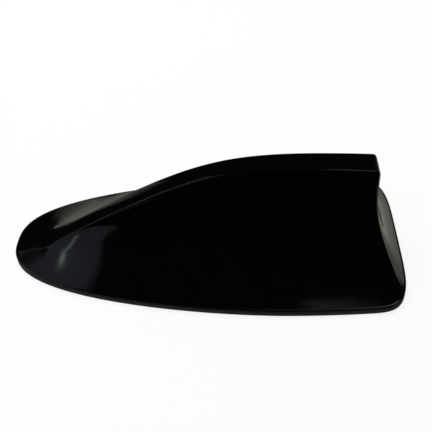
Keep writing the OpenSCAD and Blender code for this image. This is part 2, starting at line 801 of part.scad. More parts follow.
// Three miniature coaxial sockets for the leads
module coax_sockets() {
    base = 3;
    foot = 0.4;
    shell = [1.3, 1.1, 0.75];
    pin = [1.1, 0.3];
    front = stud_from_nose - 5.5;
    edge = board_width / 2 - base / 2;
    places = [[front, edge - 1], [front, 0.7 - edge], [stud_from_nose, 1.5 - edge]];
    color([0.8, 0.65, 0.3]) at_listed(places) {
        translate([-base / 2, -base / 2, board_top]) cube([base, base, foot]);
        tube(board_top, board_top + shell[0], shell[1], shell[2], small_fn);
        rod(board_top, board_top + pin[0], pin[1], small_fn);
    }
}

module shield_can() {
    x0 = board_front + can_start * board_length;
    can_length = can_share * board_length;
    y0 = can_edge - board_width / 2;
    y1 = y0 + can_width;
    rows = [5, 3];
    hole_r = 0.5;
    color([0.78, 0.79, 0.8]) difference() {
        block(x0, x0 + can_length, y0, y1, board_top, board_top + can_height);
        block(x0 + can_sheet, x0 + can_length - can_sheet, y0 + can_sheet, y1 - can_sheet,
            board_top - 1, board_top + can_height - can_sheet);
        for (i = [1:rows[0]])
            for (j = [1:rows[1]])
                at_listed([[x0 + i * can_length / (rows[0] + 1), y0 + j * can_width / (rows[1] + 1)]])
                    rod(board_top + can_height - 1, board_top + can_height + 1, hole_r, small_fn);
    }
}

module gps_pad() {
    half = patch_side / 2 - 0.5;
    color([0.9, 0.9, 0.88]) difference() {
        block(patch_station - half, patch_station + half, -half, half, board_top, board_top + pad_height);
        at_listed([[patch_station, 0]]) rod(board_top - 1, board_top + 1, 2 * pin_r, small_fn);
    }
}

// Ceramic tile with one clipped corner
module gps_patch() {
    half = patch_side / 2;
    base = board_top + pad_height;
    clip = 2;
    color([0.75, 0.72, 0.62]) difference() {
        translate([patch_station - stud_from_nose, 0, base]) linear_extrude(patch_height) polygon([
            [-half, -half], [half, -half], [half, half - clip], [half - clip, half], [-half, half]
        ]);
        at_listed([[patch_station, 0]]) rod(base - 1, base + patch_height + 1, pin_r + pin_gap, small_fn);
    }
}

module gps_feed_pin() {
    top = board_top + pad_height + patch_height;
    color([0.8, 0.78, 0.72]) at_listed([[patch_station, 0]]) {
        rod(board_level - 0.5, top + button_height, pin_r, small_fn);
        rod(top, top + button_height, button_r, small_fn);
    }
}

// Top edge of the blade, a fixed depth below the ridge line
function blade_top(x) = ridge_height(x) - blade_drop;
blade_stations = [for (i = [0:20]) mixed(blade_front, blade_rear, i / 20)];

// Upright blade with a window for the coil and a foot on the base plate
module element_carrier() {
    window_half = former_flange_r + 1;
    under_z = 12;
    nose_z = 14;
    peg_hole_depth = former_peg_length + 2 * fit_gap;
    peg_hole_r = former_peg_r + peg_hole_clearance;
    color([0.86, 0.85, 0.8]) difference() {
        union() {
            upright(concat(
                [for (x = blade_stations) [x, blade_top(x)]],
                [[blade_rear, foot_bottom], [leg_front, foot_bottom], [leg_front, under_z],
                 [coil_station + window_half, under_z], [coil_station + window_half, former_top],
                 [coil_station - window_half, former_top], [coil_station - window_half, nose_z],
                 [blade_front, nose_z]]
            ), blade_thickness);
            block(leg_front, blade_rear, -9, 9, foot_bottom, foot_top);
            for (z = phone_peg_levels)
                translate([phone_middle - stud_from_nose, blade_thickness / 2 + phone_board, z])
                    rotate([90, 0, 0]) cylinder(h = phone_board + 1, r = phone_peg_r, $fn = small_fn);
        }
        at_listed(carrier_screw_places) rod(foot_bottom - 1, foot_top + 1, small_screw_r + fit_gap, small_fn);
        at_listed([[coil_station, 0]]) rod(former_top - 1, former_top + peg_hole_depth, peg_hole_r, small_fn);
    }
}

// Side view outline stood up on the centre line
module upright(points, thickness) {
    translate([-stud_from_nose, thickness / 2, 0])
        rotate([90, 0, 0]) linear_extrude(thickness) polygon(points);
}

module carrier_screws() {
    color([0.75, 0.75, 0.76]) at_listed(carrier_screw_places) small_screw(foot_top, plate_underside + 1);
}

// Folded sheet channel over the top edge of the blade
module top_load_plate() {
    inner_half = blade_thickness / 2 + fit_gap;
    stations = [for (x = blade_stations) if (x > blade_front + 1) x];
    top_edge = [for (x = stations) [x, blade_top(x) + load_sheet]];
    under_edge = [for (i = [len(stations) - 1:-1:0]) [stations[i], blade_top(stations[i])]];
    side_edge = [for (i = [len(stations) - 1:-1:0]) [stations[i], blade_top(stations[i]) - load_side]];
    color([0.82, 0.7, 0.42]) {
        upright(concat(top_edge, under_edge), 2 * (inner_half + load_sheet));
        for (side = [-1, 1])
            translate([0, side * (inner_half + load_sheet / 2), 0])
                upright(concat(top_edge, side_edge), load_sheet);
    }
}

module coil_former() {
    color([0.9, 0.88, 0.82]) at_listed([[coil_station, 0]]) {
        tube(former_base, former_base + former_bore_depth, former_r, former_bore_r, small_fn);
        rod(former_base + former_bore_depth, former_top, former_r, small_fn);
        tube(former_base, former_base + former_flange, former_flange_r, former_bore_r, small_fn);
        rod(former_top - former_flange, former_top, former_flange_r, small_fn);
        rod(former_top - 0.5, former_top + former_peg_length, former_peg_r, small_fn);
    }
}

module loading_coil() {
    color([0.72, 0.38, 0.16]) at_listed([[coil_station, 0]])
        helix(former_base + former_flange + end_gap, former_top - former_flange - end_gap,
            former_r + wire_r + wire_gap, wire_r, coil_turns);
}

module contact_spring() {
    color([0.78, 0.66, 0.35]) at_listed([[coil_station, 0]])
        helix(board_top, former_base, spring_r, spring_wire_r, spring_turns, 12, 0.5);
}

// Thin printed board on the side of the blade's rear leg
module phone_antenna() {
    face_y = blade_thickness / 2;
    color([0.06, 0.28, 0.14]) difference() {
        translate([0, face_y + phone_board / 2, 0]) upright([
            [phone_front, foot_top], [phone_rear, foot_top], [phone_rear, phone_top - phone_clip],
            [phone_rear - phone_clip, phone_top], [phone_front, phone_top]
        ], phone_board);
        for (z = phone_peg_levels)
            translate([phone_middle - stud_from_nose, face_y + phone_board + 1, z])
                rotate([90, 0, 0])
                    cylinder(h = phone_board + 2, r = phone_peg_r + peg_hole_clearance, $fn = small_fn);
    }
}

cover();
perimeter_gasket();
base_plate();
cover_screws();
roof_seal();
mounting_stud();
toothed_washer();
stud_nut();
cable_gland();
main_board();
board_screws();
board_components();
coax_sockets();
shield_can();
gps_patch();
gps_pad();
gps_feed_pin();
element_carrier();
carrier_screws();
top_load_plate();
coil_former();
loading_coil();
contact_spring();
phone_antenna();
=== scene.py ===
"""Shark fin roof aerial: gloss cover, rubber gasket, die-cast base plate, stud fixing and antenna inside."""
import math

import bmesh
import bpy
import numpy as np
from mathutils import Matrix, Vector

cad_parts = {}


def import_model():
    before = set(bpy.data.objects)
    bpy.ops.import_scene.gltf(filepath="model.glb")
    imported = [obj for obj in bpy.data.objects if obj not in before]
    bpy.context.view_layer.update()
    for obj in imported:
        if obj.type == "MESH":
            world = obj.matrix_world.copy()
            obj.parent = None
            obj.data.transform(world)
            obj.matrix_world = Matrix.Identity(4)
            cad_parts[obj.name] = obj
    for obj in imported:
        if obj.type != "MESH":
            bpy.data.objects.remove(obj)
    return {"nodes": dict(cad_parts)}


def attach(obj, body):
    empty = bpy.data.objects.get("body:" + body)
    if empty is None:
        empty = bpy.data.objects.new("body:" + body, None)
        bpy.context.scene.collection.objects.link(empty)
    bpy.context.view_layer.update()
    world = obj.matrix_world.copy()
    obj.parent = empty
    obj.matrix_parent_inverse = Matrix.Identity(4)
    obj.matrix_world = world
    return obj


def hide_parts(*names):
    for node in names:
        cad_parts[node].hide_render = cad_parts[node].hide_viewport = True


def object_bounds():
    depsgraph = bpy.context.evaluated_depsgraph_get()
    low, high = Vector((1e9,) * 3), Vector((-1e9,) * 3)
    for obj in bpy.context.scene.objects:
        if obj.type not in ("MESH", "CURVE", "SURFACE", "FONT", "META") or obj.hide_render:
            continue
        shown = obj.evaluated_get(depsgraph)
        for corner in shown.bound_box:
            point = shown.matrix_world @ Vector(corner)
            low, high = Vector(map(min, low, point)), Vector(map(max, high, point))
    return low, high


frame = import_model()
cad_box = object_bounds()
MM = 0.001

# Sizes of the body, in millimetres from the nose tip, as in the part's source
BODY_LENGTH, BODY_WIDTH, STUD_FROM_NOSE = 167.4, 81.6, 92.0
WIDEST_SHARE, NOSE_LENGTH_POWER, NOSE_WIDTH_POWER = 0.706, 1.7, 2.6
TAIL_TAPER, TAIL_CORNER, TAIL_POWER = 0.061, 19.6, 4.5
RAMP_SLOPE, RAMP_START = 0.636, 3.8
TOP_LEVEL, TOP_STATION, TOP_FALL, TOP_BLEND, NOSE_BLEND = 50.4, 125.0, 0.11, 25.4, 1.0
STRIP_NOSE_WIDTH, STRIP_TAIL_WIDTH, STRIP_CROWN, CROWN_RUN = 6.8, 12.0, 0.5, 40.0
FAN_START, FAN_REACH, FAN_SOFTNESS, FAN_SHARE = -4.0, 30.0, 3.0, 0.96
FIN_REAR, TOP_CORNER, CREST_START = BODY_LENGTH - 12.6, 2.0, 1.2
FLANK_NOSE_POWER, FLANK_TAIL_POWER = 1.0, 4.4
TAIL_SWEEP_POWER, TAIL_LEAN_SHARE, TAIL_FACE_HALF = 3.5, 0.1, 32.5
RIM_LEVEL, LIP_HEIGHT, LIP_ROUND, LIP_FOOT = 2.4, 0.75, 0.8, 0.3
LIP_Z = RIM_LEVEL + LIP_HEIGHT
CREASE_ROUND, CORNER_CUT, BEVEL_RUN = 0.6, 1.5, 30.0

# Inside of the cover: wall, roof, solid nose and rim, where the inner ridge starts, and the screw bosses
COVER_WALL, COVER_ROOF, NOSE_SOLID, RIM_WIDTH, TAIL_RIM = 2.0, 2.3, 14.0, 3.4, 3.8
INNER_START, INNER_ROUND, INNER_CROWN = 17.0, 8.0, 0.6
BOSS_R, BOSS_COVER, HOLE_R, HOLE_TOP = 3.0, 0.5, 1.5, 6.7
SCREW_SHARES = ((0.167, 0.0), (0.418, 0.258), (0.669, 0.27), (0.902, 0.232))
SCREW_PLACES = [
    (x * BODY_LENGTH, side * y * BODY_WIDTH)
    for x, y in SCREW_SHARES
    for side in ((-1, 1) if y else (1,))
]

# Circuit board and carrier
BOARD_FRONT, BOARD_LENGTH, BOARD_WIDTH, BOARD_TOP = STUD_FROM_NOSE - 36.0, 66.0, 26.0, 7.6
BOARD_REAR = BOARD_FRONT + BOARD_LENGTH
BOARD_SCREW_INSET, BOARD_SCREW_Y = 3.0, 10.0
BOARD_SCREW_PLACES = [
    (x, y)
    for x in (BOARD_FRONT + BOARD_SCREW_INSET, BOARD_REAR - BOARD_SCREW_INSET)
    for y in (-BOARD_SCREW_Y, BOARD_SCREW_Y)
]
COIL_STATION = BOARD_REAR - 10.0
CARRIER_FOOT_TOP = 6.4
CARRIER_SCREW_PLACES = [(BOARD_REAR + 9.0, 6.0), (FIN_REAR - 10.8, -6.0)]

# Chips: station, side, length, width, and how many pairs of sides have legs
CHIPS = [
    (BOARD_FRONT + 0.697 * BOARD_LENGTH, 0.323 * BOARD_WIDTH, 7.0, 7.0, 2),
    (BOARD_FRONT + 0.833 * BOARD_LENGTH, 0.315 * BOARD_WIDTH, 5.0, 5.0, 2),
    (BOARD_FRONT + 0.455 * BOARD_LENGTH, -0.262 * BOARD_WIDTH, 4.0, 3.0, 1),
]


# Objects and node trees
def add_object(name, data):
    made = bpy.data.objects.new(name, data)
    bpy.context.scene.collection.objects.link(made)
    return made


def empty_tree(owner):
    """The emptied node tree of a material or world."""
    owner.use_nodes = True
    owner.node_tree.nodes.clear()
    return owner.node_tree


# Node building: a wrapper for sockets, and one method that makes every node
class Wire:
    """A socket that takes part in arithmetic."""

    def __init__(self, graph, socket):
        self.graph, self.socket = graph, socket

    def _math(self, operation, first, second):
        return self.graph.node("ShaderNodeMath", {0: first, 1: second}, operation=operation)[0]

    def __add__(self, other):
        return self._math("ADD", self, other)

    def __sub__(self, other):
        return self._math("SUBTRACT", self, other)

    def __rsub__(self, other):
        return self._math("SUBTRACT", other, self)

    def __mul__(self, other):
        return self._math("MULTIPLY", self, other)

    def __truediv__(self, other):
        return self._math("DIVIDE", self, other)

    def apply(self, operation, other=0.0):
        return self._math(operation, self, other)

    def ramp(self, low, high):
        """Smooth step from 0 at low to 1 at high, where low may be the larger number."""
        inputs = {"Value": self, "From Min": low, "From Max": high}
        return self.graph.node("ShaderNodeMapRange", inputs, interpolation_type="SMOOTHSTEP")[0]

    def band(self, low, high, soft):
        """1 between low and high and 0 outside, with soft edges."""
        return self.ramp(low - soft, low + soft) * self.ramp(high + soft, high - soft)


class Step:
    """A node whose outputs are taken by name or number."""

    def __init__(self, graph, node):
        self.graph, self.node = graph, node

    def __getitem__(self, key):
        return Wire(self.graph, self.node.outputs[key])


class Graph:
    """A node tree under construction."""

    def __init__(self, tree):
        self.tree = tree

    def node(self, kind, inputs=None, **settings):
        made = self.tree.nodes.new(kind)
        for key, value in settings.items():
            setattr(made, key, value)
        for key, value in (inputs or {}).items():
            self.feed(made.inputs[key], value)
        return Step(self, made)

    def feed(self, socket, value):
        if isinstance(value, Step):
            value = value[0]
        if isinstance(value, Wire):
            self.tree.links.new(value.socket, socket)
        else:
            socket.default_value = value

    def axes(self, vector):
        """The x, y and z of a vector."""
        parts = self.node("ShaderNodeSeparateXYZ", {0: vector})
        return parts[0], parts[1], parts[2]

    def light(self, kind, tint, strength):
        return self.node(kind, {"Color": (*tint, 1.0), "Strength": strength})

    def mix(self, share, first, second):
        """The first shader where share is 0, the second where it is 1."""
        return self.node("ShaderNodeMixShader", {0: share, 1: first, 2: second})

    def add(self, first, second):
        return self.node("ShaderNodeAddShader", {0: first, 1: second})


class Pattern(Graph):
    """A Geometry Nodes tree with named sizes, closed by Realize Instances and Set Material."""

    def __init__(self, name, sizes):
        super().__init__(bpy.data.node_groups.new(name, "GeometryNodeTree"))
        self.sizes = sizes
        self.tree.interface.new_socket("Geometry", in_out="INPUT", socket_type="NodeSocketGeometry")
        for key, value in sizes.items():
            socket = self.tree.interface.new_socket(key, in_out="INPUT", socket_type="NodeSocketFloat")
            socket.default_value = value
        self.tree.interface.new_socket("Geometry", in_out="OUTPUT", socket_type="NodeSocketGeometry")
        self.given = self.node("NodeGroupInput")

    def close(self, geometry, finish):
        plain = self.node("GeometryNodeRealizeInstances", {"Geometry": geometry})
        smooth = self.node("GeometryNodeSetShadeSmooth", {"Geometry": plain})
        surface = {"Geometry": smooth, "Material": FINISHES[finish]}
        self.node("NodeGroupOutput", {0: self.node("GeometryNodeSetMaterial", surface)})

    def grow(self, name, host_mesh, sharp_deg):
        """The tree's result on a host mesh, as a plain mesh object at the origin."""
        piece = add_object(name, host_mesh)
        step = piece.modifiers.new("pattern", "NODES")
        step.node_group = self.tree
        for item in self.tree.interface.items_tree:
            if item.in_out == "INPUT" and item.name in self.sizes:
                step[item.identifier] = self.sizes[item.name]
        shown = piece.evaluated_get(bpy.context.evaluated_depsgraph_get())
        grown = bpy.data.meshes.new_from_object(shown)
        piece.modifiers.clear()
        piece.data = grown
        grown.name = name
        grown.set_sharp_from_angle(angle=math.radians(sharp_deg))
        return piece


def grey(level):
    return (level, level, level)


# Finishes
class Finish(Graph):
    """A surface finish: Principled shader, object coordinates, helpers for patterns."""

    def __init__(self, name, colour, roughness, **constants):
        self.material = bpy.data.materials.new(name)
        super().__init__(empty_tree(self.material))
        self.surface = self.tree.nodes.new("ShaderNodeBsdfPrincipled")
        output = self.tree.nodes.new("ShaderNodeOutputMaterial")
        self.tree.links.new(self.surface.outputs[0], output.inputs["Surface"])
        self.place = self.node("ShaderNodeTexCoord")["Object"]
        self.put("Base Color", (*colour, 1.0))
        self.put("Roughness", roughness)
        for key, value in constants.items():
            self.put(key.replace("_", " "), value)
        self.material.diffuse_color = (*colour, 1.0)
        self.material.roughness = roughness

    def put(self, key, value):
        self.feed(self.surface.inputs[key], value)

    def noise(self, size_mm, detail=3.0, roughness=0.5, stretch=(1.0, 1.0, 1.0)):
        place = self.node("ShaderNodeMapping", {"Vector": self.place, "Scale": stretch})
        inputs = {"Vector": place, "Scale": 1.0 / (size_mm * MM), "Detail": detail, "Roughness": roughness}
        return self.node("ShaderNodeTexNoise", inputs, noise_dimensions="3D")[0]

    def cells(self, size_mm):
        """Distance from the middle of the nearest cell."""
        inputs = {"Vector": self.place, "Scale": 1.0 / (size_mm * MM)}
        return self.node("ShaderNodeTexVoronoi", inputs, feature="F1")["Distance"]

    @staticmethod
    def between(share, low, high):
        """A number that goes from low to high as share goes from 0 to 1."""
        return share * (high - low) + low

    def paint(self, share, first, second):
        """Base colour: the first where share is 0, the second where it is 1."""
        mix = self.node("ShaderNodeMix", data_type="RGBA")
        self.feed(mix.node.inputs[0], share)
        self.feed(mix.node.inputs[6], (*first, 1.0))
        self.feed(mix.node.inputs[7], (*second, 1.0))
        self.put("Base Color", mix[2])

    def bump(self, height, depth_mm, strength=1.0):
        relief = {"Strength": strength, "Distance": depth_mm * MM, "Height": height}
        self.put("Normal", self.node("ShaderNodeBump", relief))


def gloss_black():
    """Injection moulded gloss black, with slow mould waviness and fine handling marks."""
    finish = Finish("gloss_black", (0.0008, 0.0008, 0.001), 0.07, IOR=1.5)
    haze = finish.noise(9.0, 4.0, 0.55)
    dust = finish.cells(1.7).ramp(0.06, 0.0)
    rubbed = finish.noise(2.6, 5.0, 0.6, (0.25, 1.0, 1.0)).ramp(0.5, 0.75)
    finish.put("Roughness", finish.between(haze, 0.045, 0.1) + rubbed * 0.02 + dust * 0.05)
    paleness = dust * 0.08 + haze * 0.1
    finish.paint(paleness, (0.0006, 0.0006, 0.0008), (0.009, 0.009, 0.009))
    finish.bump(finish.noise(7.0, 2.0) + finish.noise(1.6, 2.0) * 0.12, 0.02)
    return finish.material


def gasket_rubber():
    """Matt moulded rubber with a trace of bloom."""
    finish = Finish("gasket_rubber", (0.014, 0.014, 0.012), 0.62, IOR=1.5, Specular_IOR_Level=0.3)
    bloom = finish.noise(6.0, 5.0, 0.6).ramp(0.45, 0.75)
    grain = finish.noise(0.35, 4.0, 0.65)
    finish.paint(bloom * 0.6, (0.0125, 0.0125, 0.0105), (0.03, 0.03, 0.025))
    finish.put("Roughness", finish.between(grain, 0.52, 0.74))
    finish.bump(grain + bloom * 0.3, 0.05, 0.7)
    return finish.material


def green_board():
    """Printed board: lacquer over copper tracks that run along in some blocks and across in others."""
    finish = Finish("green_board", (0.008, 0.1, 0.035), 0.32, IOR=1.52)
    track_pitch, block_size = 1.3 * MM, 7.0 * MM
    x, y, z = finish.axes(finish.place)
    inputs = {"Vector": finish.place, "Scale": 1.0 / block_size}
    blocks = finish.node("ShaderNodeTexVoronoi", inputs, distance="CHEBYCHEV")["Color"]
    along = finish.node("ShaderNodeSeparateColor", {0: blocks})[0].ramp(0.49, 0.51)

    def tracks(axis):
        return (axis / track_pitch).apply("PINGPONG", 1.0).ramp(0.62, 0.7)

    copper = tracks(y + z) * along + tracks(x) * (1.0 - along)
    weave = finish.noise(0.4, 2.0)
    paleness = copper * 0.75 + weave * 0.1
    finish.paint(paleness, (0.006, 0.085, 0.03), (0.022, 0.2, 0.06))
    finish.put("Roughness", finish.between(weave, 0.26, 0.4))
    finish.bump(copper + weave * 0.2, 0.04, 0.8)
    return finish.material


def moulded(name, colour, dark, light, rough_high, size_mm, coarseness, depth_mm, strength):
    """Black rubber or epoxy with one fine grain."""
    finish = Finish(name, colour, 0.55)
    grain = finish.noise(size_mm, 4.0, coarseness)
    finish.paint(grain, dark, light)
    finish.put("Roughness", finish.between(grain, 0.45, rough_high))
    finish.bump(grain, depth_mm, strength)
    return finish.material


def metal(name, dark, light, rough_low, rough_high, size_mm, depth_mm, stretch=(1.0, 1.0, 1.0)):
    """Bare or plated metal: slow tone change, fine grain in roughness and relief."""
    finish = Finish(name, light, rough_low, Metallic=1.0)
    tone = finish.noise(size_mm * 9.0, 4.0, 0.6)
    grain = finish.noise(size_mm, 4.0, 0.6, stretch)
    spots = finish.cells(size_mm * 6.0).ramp(0.12, 0.0)
    finish.paint(tone * 0.75 + spots * 0.25, light, dark)
    finish.put("Roughness", finish.between(grain, rough_low, rough_high) + spots * 0.08)
    finish.bump(grain + tone * 0.4, depth_mm, 0.6)
    return finish.material


def plastic(name, dark, light, rough_low, rough_high, size_mm, depth_mm, **constants):
    """Plastic, foam or ceramic: slow tone change and fine grain."""
    finish = Finish(name, light, rough_low, **constants)
    tone = finish.noise(size_mm * 12.0, 3.0)
    grain = finish.noise(size_mm, 4.0, 0.6)
    finish.paint(tone * 0.7 + grain * 0.3, dark, light)
    finish.put("Roughness", finish.between(grain, rough_low, rough_high))
    finish.bump(grain, depth_mm, 0.5)
    return finish.material


# How the grain is drawn out: along a rolled sheet, and up a turned part
ALONG_SHEET, UP_TURNED = (0.15, 1.0, 1.0), (1.0, 1.0, 0.2)

# Metals: dark and light tone, lowest and highest roughness, size and depth of the grain in mm, its stretch
METALS = {
    "die_cast_metal": ((0.42, 0.43, 0.44), (0.62, 0.63, 0.64), 0.38, 0.56, 0.5, 0.05),
    "zinc_plated": ((0.55, 0.56, 0.57), (0.72, 0.73, 0.74), 0.2, 0.34, 0.3, 0.012, UP_TURNED),
    "zinc_yellow": ((0.5, 0.42, 0.22), (0.72, 0.64, 0.4), 0.22, 0.38, 0.3, 0.012),
    "plated_screws": ((0.45, 0.45, 0.46), (0.66, 0.66, 0.67), 0.2, 0.36, 0.2, 0.01),
    "gold_plated": ((0.75, 0.52, 0.18), (0.9, 0.7, 0.32), 0.15, 0.25, 0.2, 0.006),
    "tinned_sheet": ((0.6, 0.61, 0.63), (0.78, 0.79, 0.8), 0.22, 0.36, 0.4, 0.01, ALONG_SHEET),
    "brass_sheet": ((0.6, 0.42, 0.17), (0.8, 0.62, 0.3), 0.2, 0.36, 0.4, 0.01, ALONG_SHEET),
    "copper_wire": ((0.45, 0.16, 0.05), (0.7, 0.3, 0.12), 0.14, 0.26, 0.3, 0.005),
}

FINISHES = {
    "gloss_black": gloss_black(),
    "gasket_rubber": gasket_rubber(),
    "green_board": green_board(),
    "seal_rubber": moulded("seal_rubber", grey(0.012), grey(0.009), grey(0.018), 0.65, 0.5, 0.6, 0.03, 0.6),
    "chip_black": moulded(
        "chip_black", (0.02, 0.02, 0.022), (0.014, 0.014, 0.015), (0.032, 0.032, 0.034),
        0.7, 0.15, 0.7, 0.015, 0.8,
    ),
    "ceramic": plastic("ceramic", (0.42, 0.38, 0.28), (0.6, 0.55, 0.43), 0.5, 0.7, 0.25, 0.02),
    "foam_pad": plastic("foam_pad", (0.7, 0.7, 0.68), (0.84, 0.84, 0.82), 0.8, 0.95, 0.3, 0.06),
    "natural_plastic": plastic(
        "natural_plastic", (0.68, 0.65, 0.56), (0.78, 0.76, 0.68), 0.4, 0.55, 0.5, 0.02,
        Subsurface_Weight=0.15, Subsurface_Scale=0.002,
    ),
    **{name: metal(name, *values) for name, values in METALS.items()},
}

FINISH_NODES = {
    "gloss_black": ["cover"],
    "gasket_rubber": ["perimeter_gasket"],
    "die_cast_metal": ["base_plate"],
    "plated_screws": ["cover_screws", "board_screws", "carrier_screws"],
    "seal_rubber": ["roof_seal", "cable_gland"],
    "zinc_plated": ["mounting_stud", "stud_nut"],
    "zinc_yellow": ["toothed_washer"],
    "green_board": ["main_board", "phone_antenna"],
    "chip_black": ["board_components"],
    "gold_plated": ["coax_sockets"],
    "tinned_sheet": ["shield_can", "gps_feed_pin"],
    "ceramic": ["gps_patch"],
    "foam_pad": ["gps_pad"],
    "natural_plastic": ["element_carrier", "coil_former"],
    "brass_sheet": ["top_load_plate", "contact_spring"],
    "copper_wire": ["loading_coil"],
}


def dress_nodes():
    for finish, names in FINISH_NODES.items():
        for name in names:
            slots = frame["nodes"][name].data.materials
            for i in range(len(slots)):
                slots[i] = FINISHES[finish]
            if not len(slots):
                slots.append(FINISHES[finish])


dress_nodes()


# Body curves, where x is a station behind the nose tip
def half_width(x):
    s = np.asarray(x, float) / BODY_LENGTH
    ahead = np.clip(1 - s / WIDEST_SHARE, 0, 1)
    behind = np.clip(s - WIDEST_SHARE, 0, None) / (1 - WIDEST_SHARE)
    nose = np.clip(1 - ahead**NOSE_LENGTH_POWER, 0, None) ** (1 / NOSE_WIDTH_POWER)
    return BODY_WIDTH / 2 * np.where(s < WIDEST_SHARE, nose, 1 - TAIL_TAPER * behind**2)


def corner_point(angle):
    """Point of the outline round the tail."""
    x = BODY_LENGTH - TAIL_CORNER + TAIL_CORNER * np.sin(angle) ** (2 / TAIL_POWER)
    return np.stack([x, half_width(x) * np.cos(angle) ** (2 / TAIL_POWER)], -1)


def share_angle(share):
    """Tail angle with this share of the half width."""
    return np.arccos(np.clip(share, 0, 1) ** (TAIL_POWER / 2))


def ridge_height(x):
    """Ramp that blends into the falling top and stays above the lip."""
    x = np.asarray(x, float)
    ramp = RAMP_SLOPE * (x - RAMP_START)
    top = TOP_LEVEL - TOP_FALL * (x - TOP_STATION)
    lower = (ramp + top - np.sqrt((ramp - top) ** 2 + TOP_BLEND**2)) / 2 - LIP_Z
    return LIP_Z + (lower + np.sqrt(lower**2 + 4 * NOSE_BLEND**2)) / 2


def corner_drop(x):
    """How far the ridge drops round the fin's top rear corner."""
    past = np.clip(np.asarray(x, float) - FIN_REAR + TOP_CORNER, 0, TOP_CORNER)
    return TOP_CORNER - np.sqrt(TOP_CORNER**2 - past**2)


def strip_half(x):
    widening = (STRIP_TAIL_WIDTH - STRIP_NOSE_WIDTH) * np.asarray(x, float) / BODY_LENGTH
    return (STRIP_NOSE_WIDTH + widening) / 2


def crease_half(x):
    """Half the distance between the creases, which fan out at the nose."""
    x = np.asarray(x, float)
    rim = FAN_SHARE * half_width(np.clip(x - CREST_START, 0, None))
    fan = strip_half(x) + FAN_REACH / np.maximum(0.5, x - FAN_START)
    return np.clip((rim + fan - np.sqrt((rim - fan) ** 2 + FAN_SOFTNESS**2)) / 2, 0, None)


def strip_top(x, y):
    """Height of the strip's surface between the two creases."""
    crown = STRIP_CROWN * np.clip(x / CROWN_RUN, 0, 1)
    return ridge_height(x) - corner_drop(x) + crown * (1 - (y / np.maximum(crease_half(x), 0.05)) ** 2)


def flank_power(x):
    return FLANK_NOSE_POWER + (FLANK_TAIL_POWER - FLANK_NOSE_POWER) * x / BODY_LENGTH


def flank(foot, crest, v):
    """Flank between foot and crest points, hollow towards the foot."""
    u = 1 - v
    sweep = u**TAIL_SWEEP_POWER * (1 - TAIL_LEAN_SHARE) + u * TAIL_LEAN_SHARE
    x = crest[:, 0] + (foot[:, 0] - crest[:, 0]) * sweep
    y = crest[:, 1] + (foot[:, 1] - crest[:, 1]) * u ** flank_power(crest[:, 0])
    z = foot[:, 2] + (crest[:, 2] - foot[:, 2]) * v
    return np.stack([x, y, z], -1)


def flank_height(x, y):
    """Height of the flank over a point of the plan."""
    crease, ridge = float(crease_half(x)), float(ridge_height(x))
    share = max(0.0, y - crease) / (float(half_width(x)) - LIP_ROUND - crease)
    return ridge + (LIP_Z - ridge) * share ** (1 / flank_power(x))


# Meshes from points. They stay this far inside the solids' box, in metres
EDGE_CLEARANCE = 1e-6


def face_outwards(mesh):
    shape = bmesh.new()
    shape.from_mesh(mesh)
    bmesh.ops.recalc_face_normals(shape, faces=shape.faces)
    shape.to_mesh(mesh)
    shape.free()


def smooth_mesh(name, points, faces, finish, sharp_deg):
    """A mesh object at the origin from points in millimetres behind the nose tip."""
    mesh = bpy.data.meshes.new(name)
    placed = (np.asarray(points, float) - [STUD_FROM_NOSE, 0, 0]) * MM
    placed = np.clip(placed, np.array(cad_box[0]) + EDGE_CLEARANCE, np.array(cad_box[1]) - EDGE_CLEARANCE)
    mesh.from_pydata(placed.tolist(), [], [list(map(int, f)) for f in faces])
    mesh.validate()
    mesh.update()
    mesh.polygons.foreach_set("use_smooth", [True] * len(mesh.polygons))
    mesh.set_sharp_from_angle(angle=math.radians(sharp_deg))
    mesh.materials.append(FINISHES[finish])
    face_outwards(mesh)
    return add_object(name, mesh)


def settle(piece, node):
    """Joins a piece to the body, in place of a node where there is one."""
    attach(piece, "root")
    if node:
        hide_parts(node)
    return piece


def corners_once(quad):
    """A quad without its repeated corners."""
    return [q for i, q in enumerate(quad) if q not in quad[:i]]


# Turned bodies: a profile of radius and height swung round an upright axis
THREAD_STEEPNESS, THREAD_CREST = 1.25, 0.1


def turned_radius(style, radius, height, angles):
    """Radius at each angle: round, hexagon inside a circle, cross recess or thread."""
    if style is None:
        return np.full(len(angles), radius)
    kind, *sizes = style
    if kind == "hex":
        flats = sizes[0] * math.cos(math.pi / 6) / np.cos(angles % (math.pi / 3) - math.pi / 6)
        return np.minimum(flats, radius)
    if kind == "cross":
        arms = [np.minimum(radius, sizes[0] / np.maximum(np.abs(f(angles)), 1e-6)) for f in (np.sin, np.cos)]
        return np.maximum(*arms)
    depth, pitch = sizes
    share = (height / pitch - angles / (2 * math.pi)) % 1.0
    return radius - depth * np.clip(THREAD_STEEPNESS * np.abs(2 * share - 1) - THREAD_CREST, 0, 1)


def add_turned(points, faces, profile, steps, place=(STUD_FROM_NOSE, 0.0), closed=False):
    """Adds a turned body. The profile starts and ends on the axis, or is a closed loop round a bore."""
    angles = np.arange(steps) * 2 * math.pi / steps
    rows = []
    for radius, height, *style in profile:
        first = len(points)
        if radius == 0:
            points.append([place[0], place[1], height])
            rows.append([first] * steps)
            continue
        reach = turned_radius(style[0] if style else None, radius, height, angles)
        for a, r in zip(angles, reach):
            points.append([place[0] + r * math.cos(a), place[1] + r * math.sin(a), height])
        rows.append(list(range(first, first + steps)))
    if closed:
        rows.append(rows[0])
    for low, high in zip(rows, rows[1:]):
        for i in range(steps):
            n = (i + 1) % steps
            faces.append(corners_once([low[i], low[n], high[n], high[i]]))


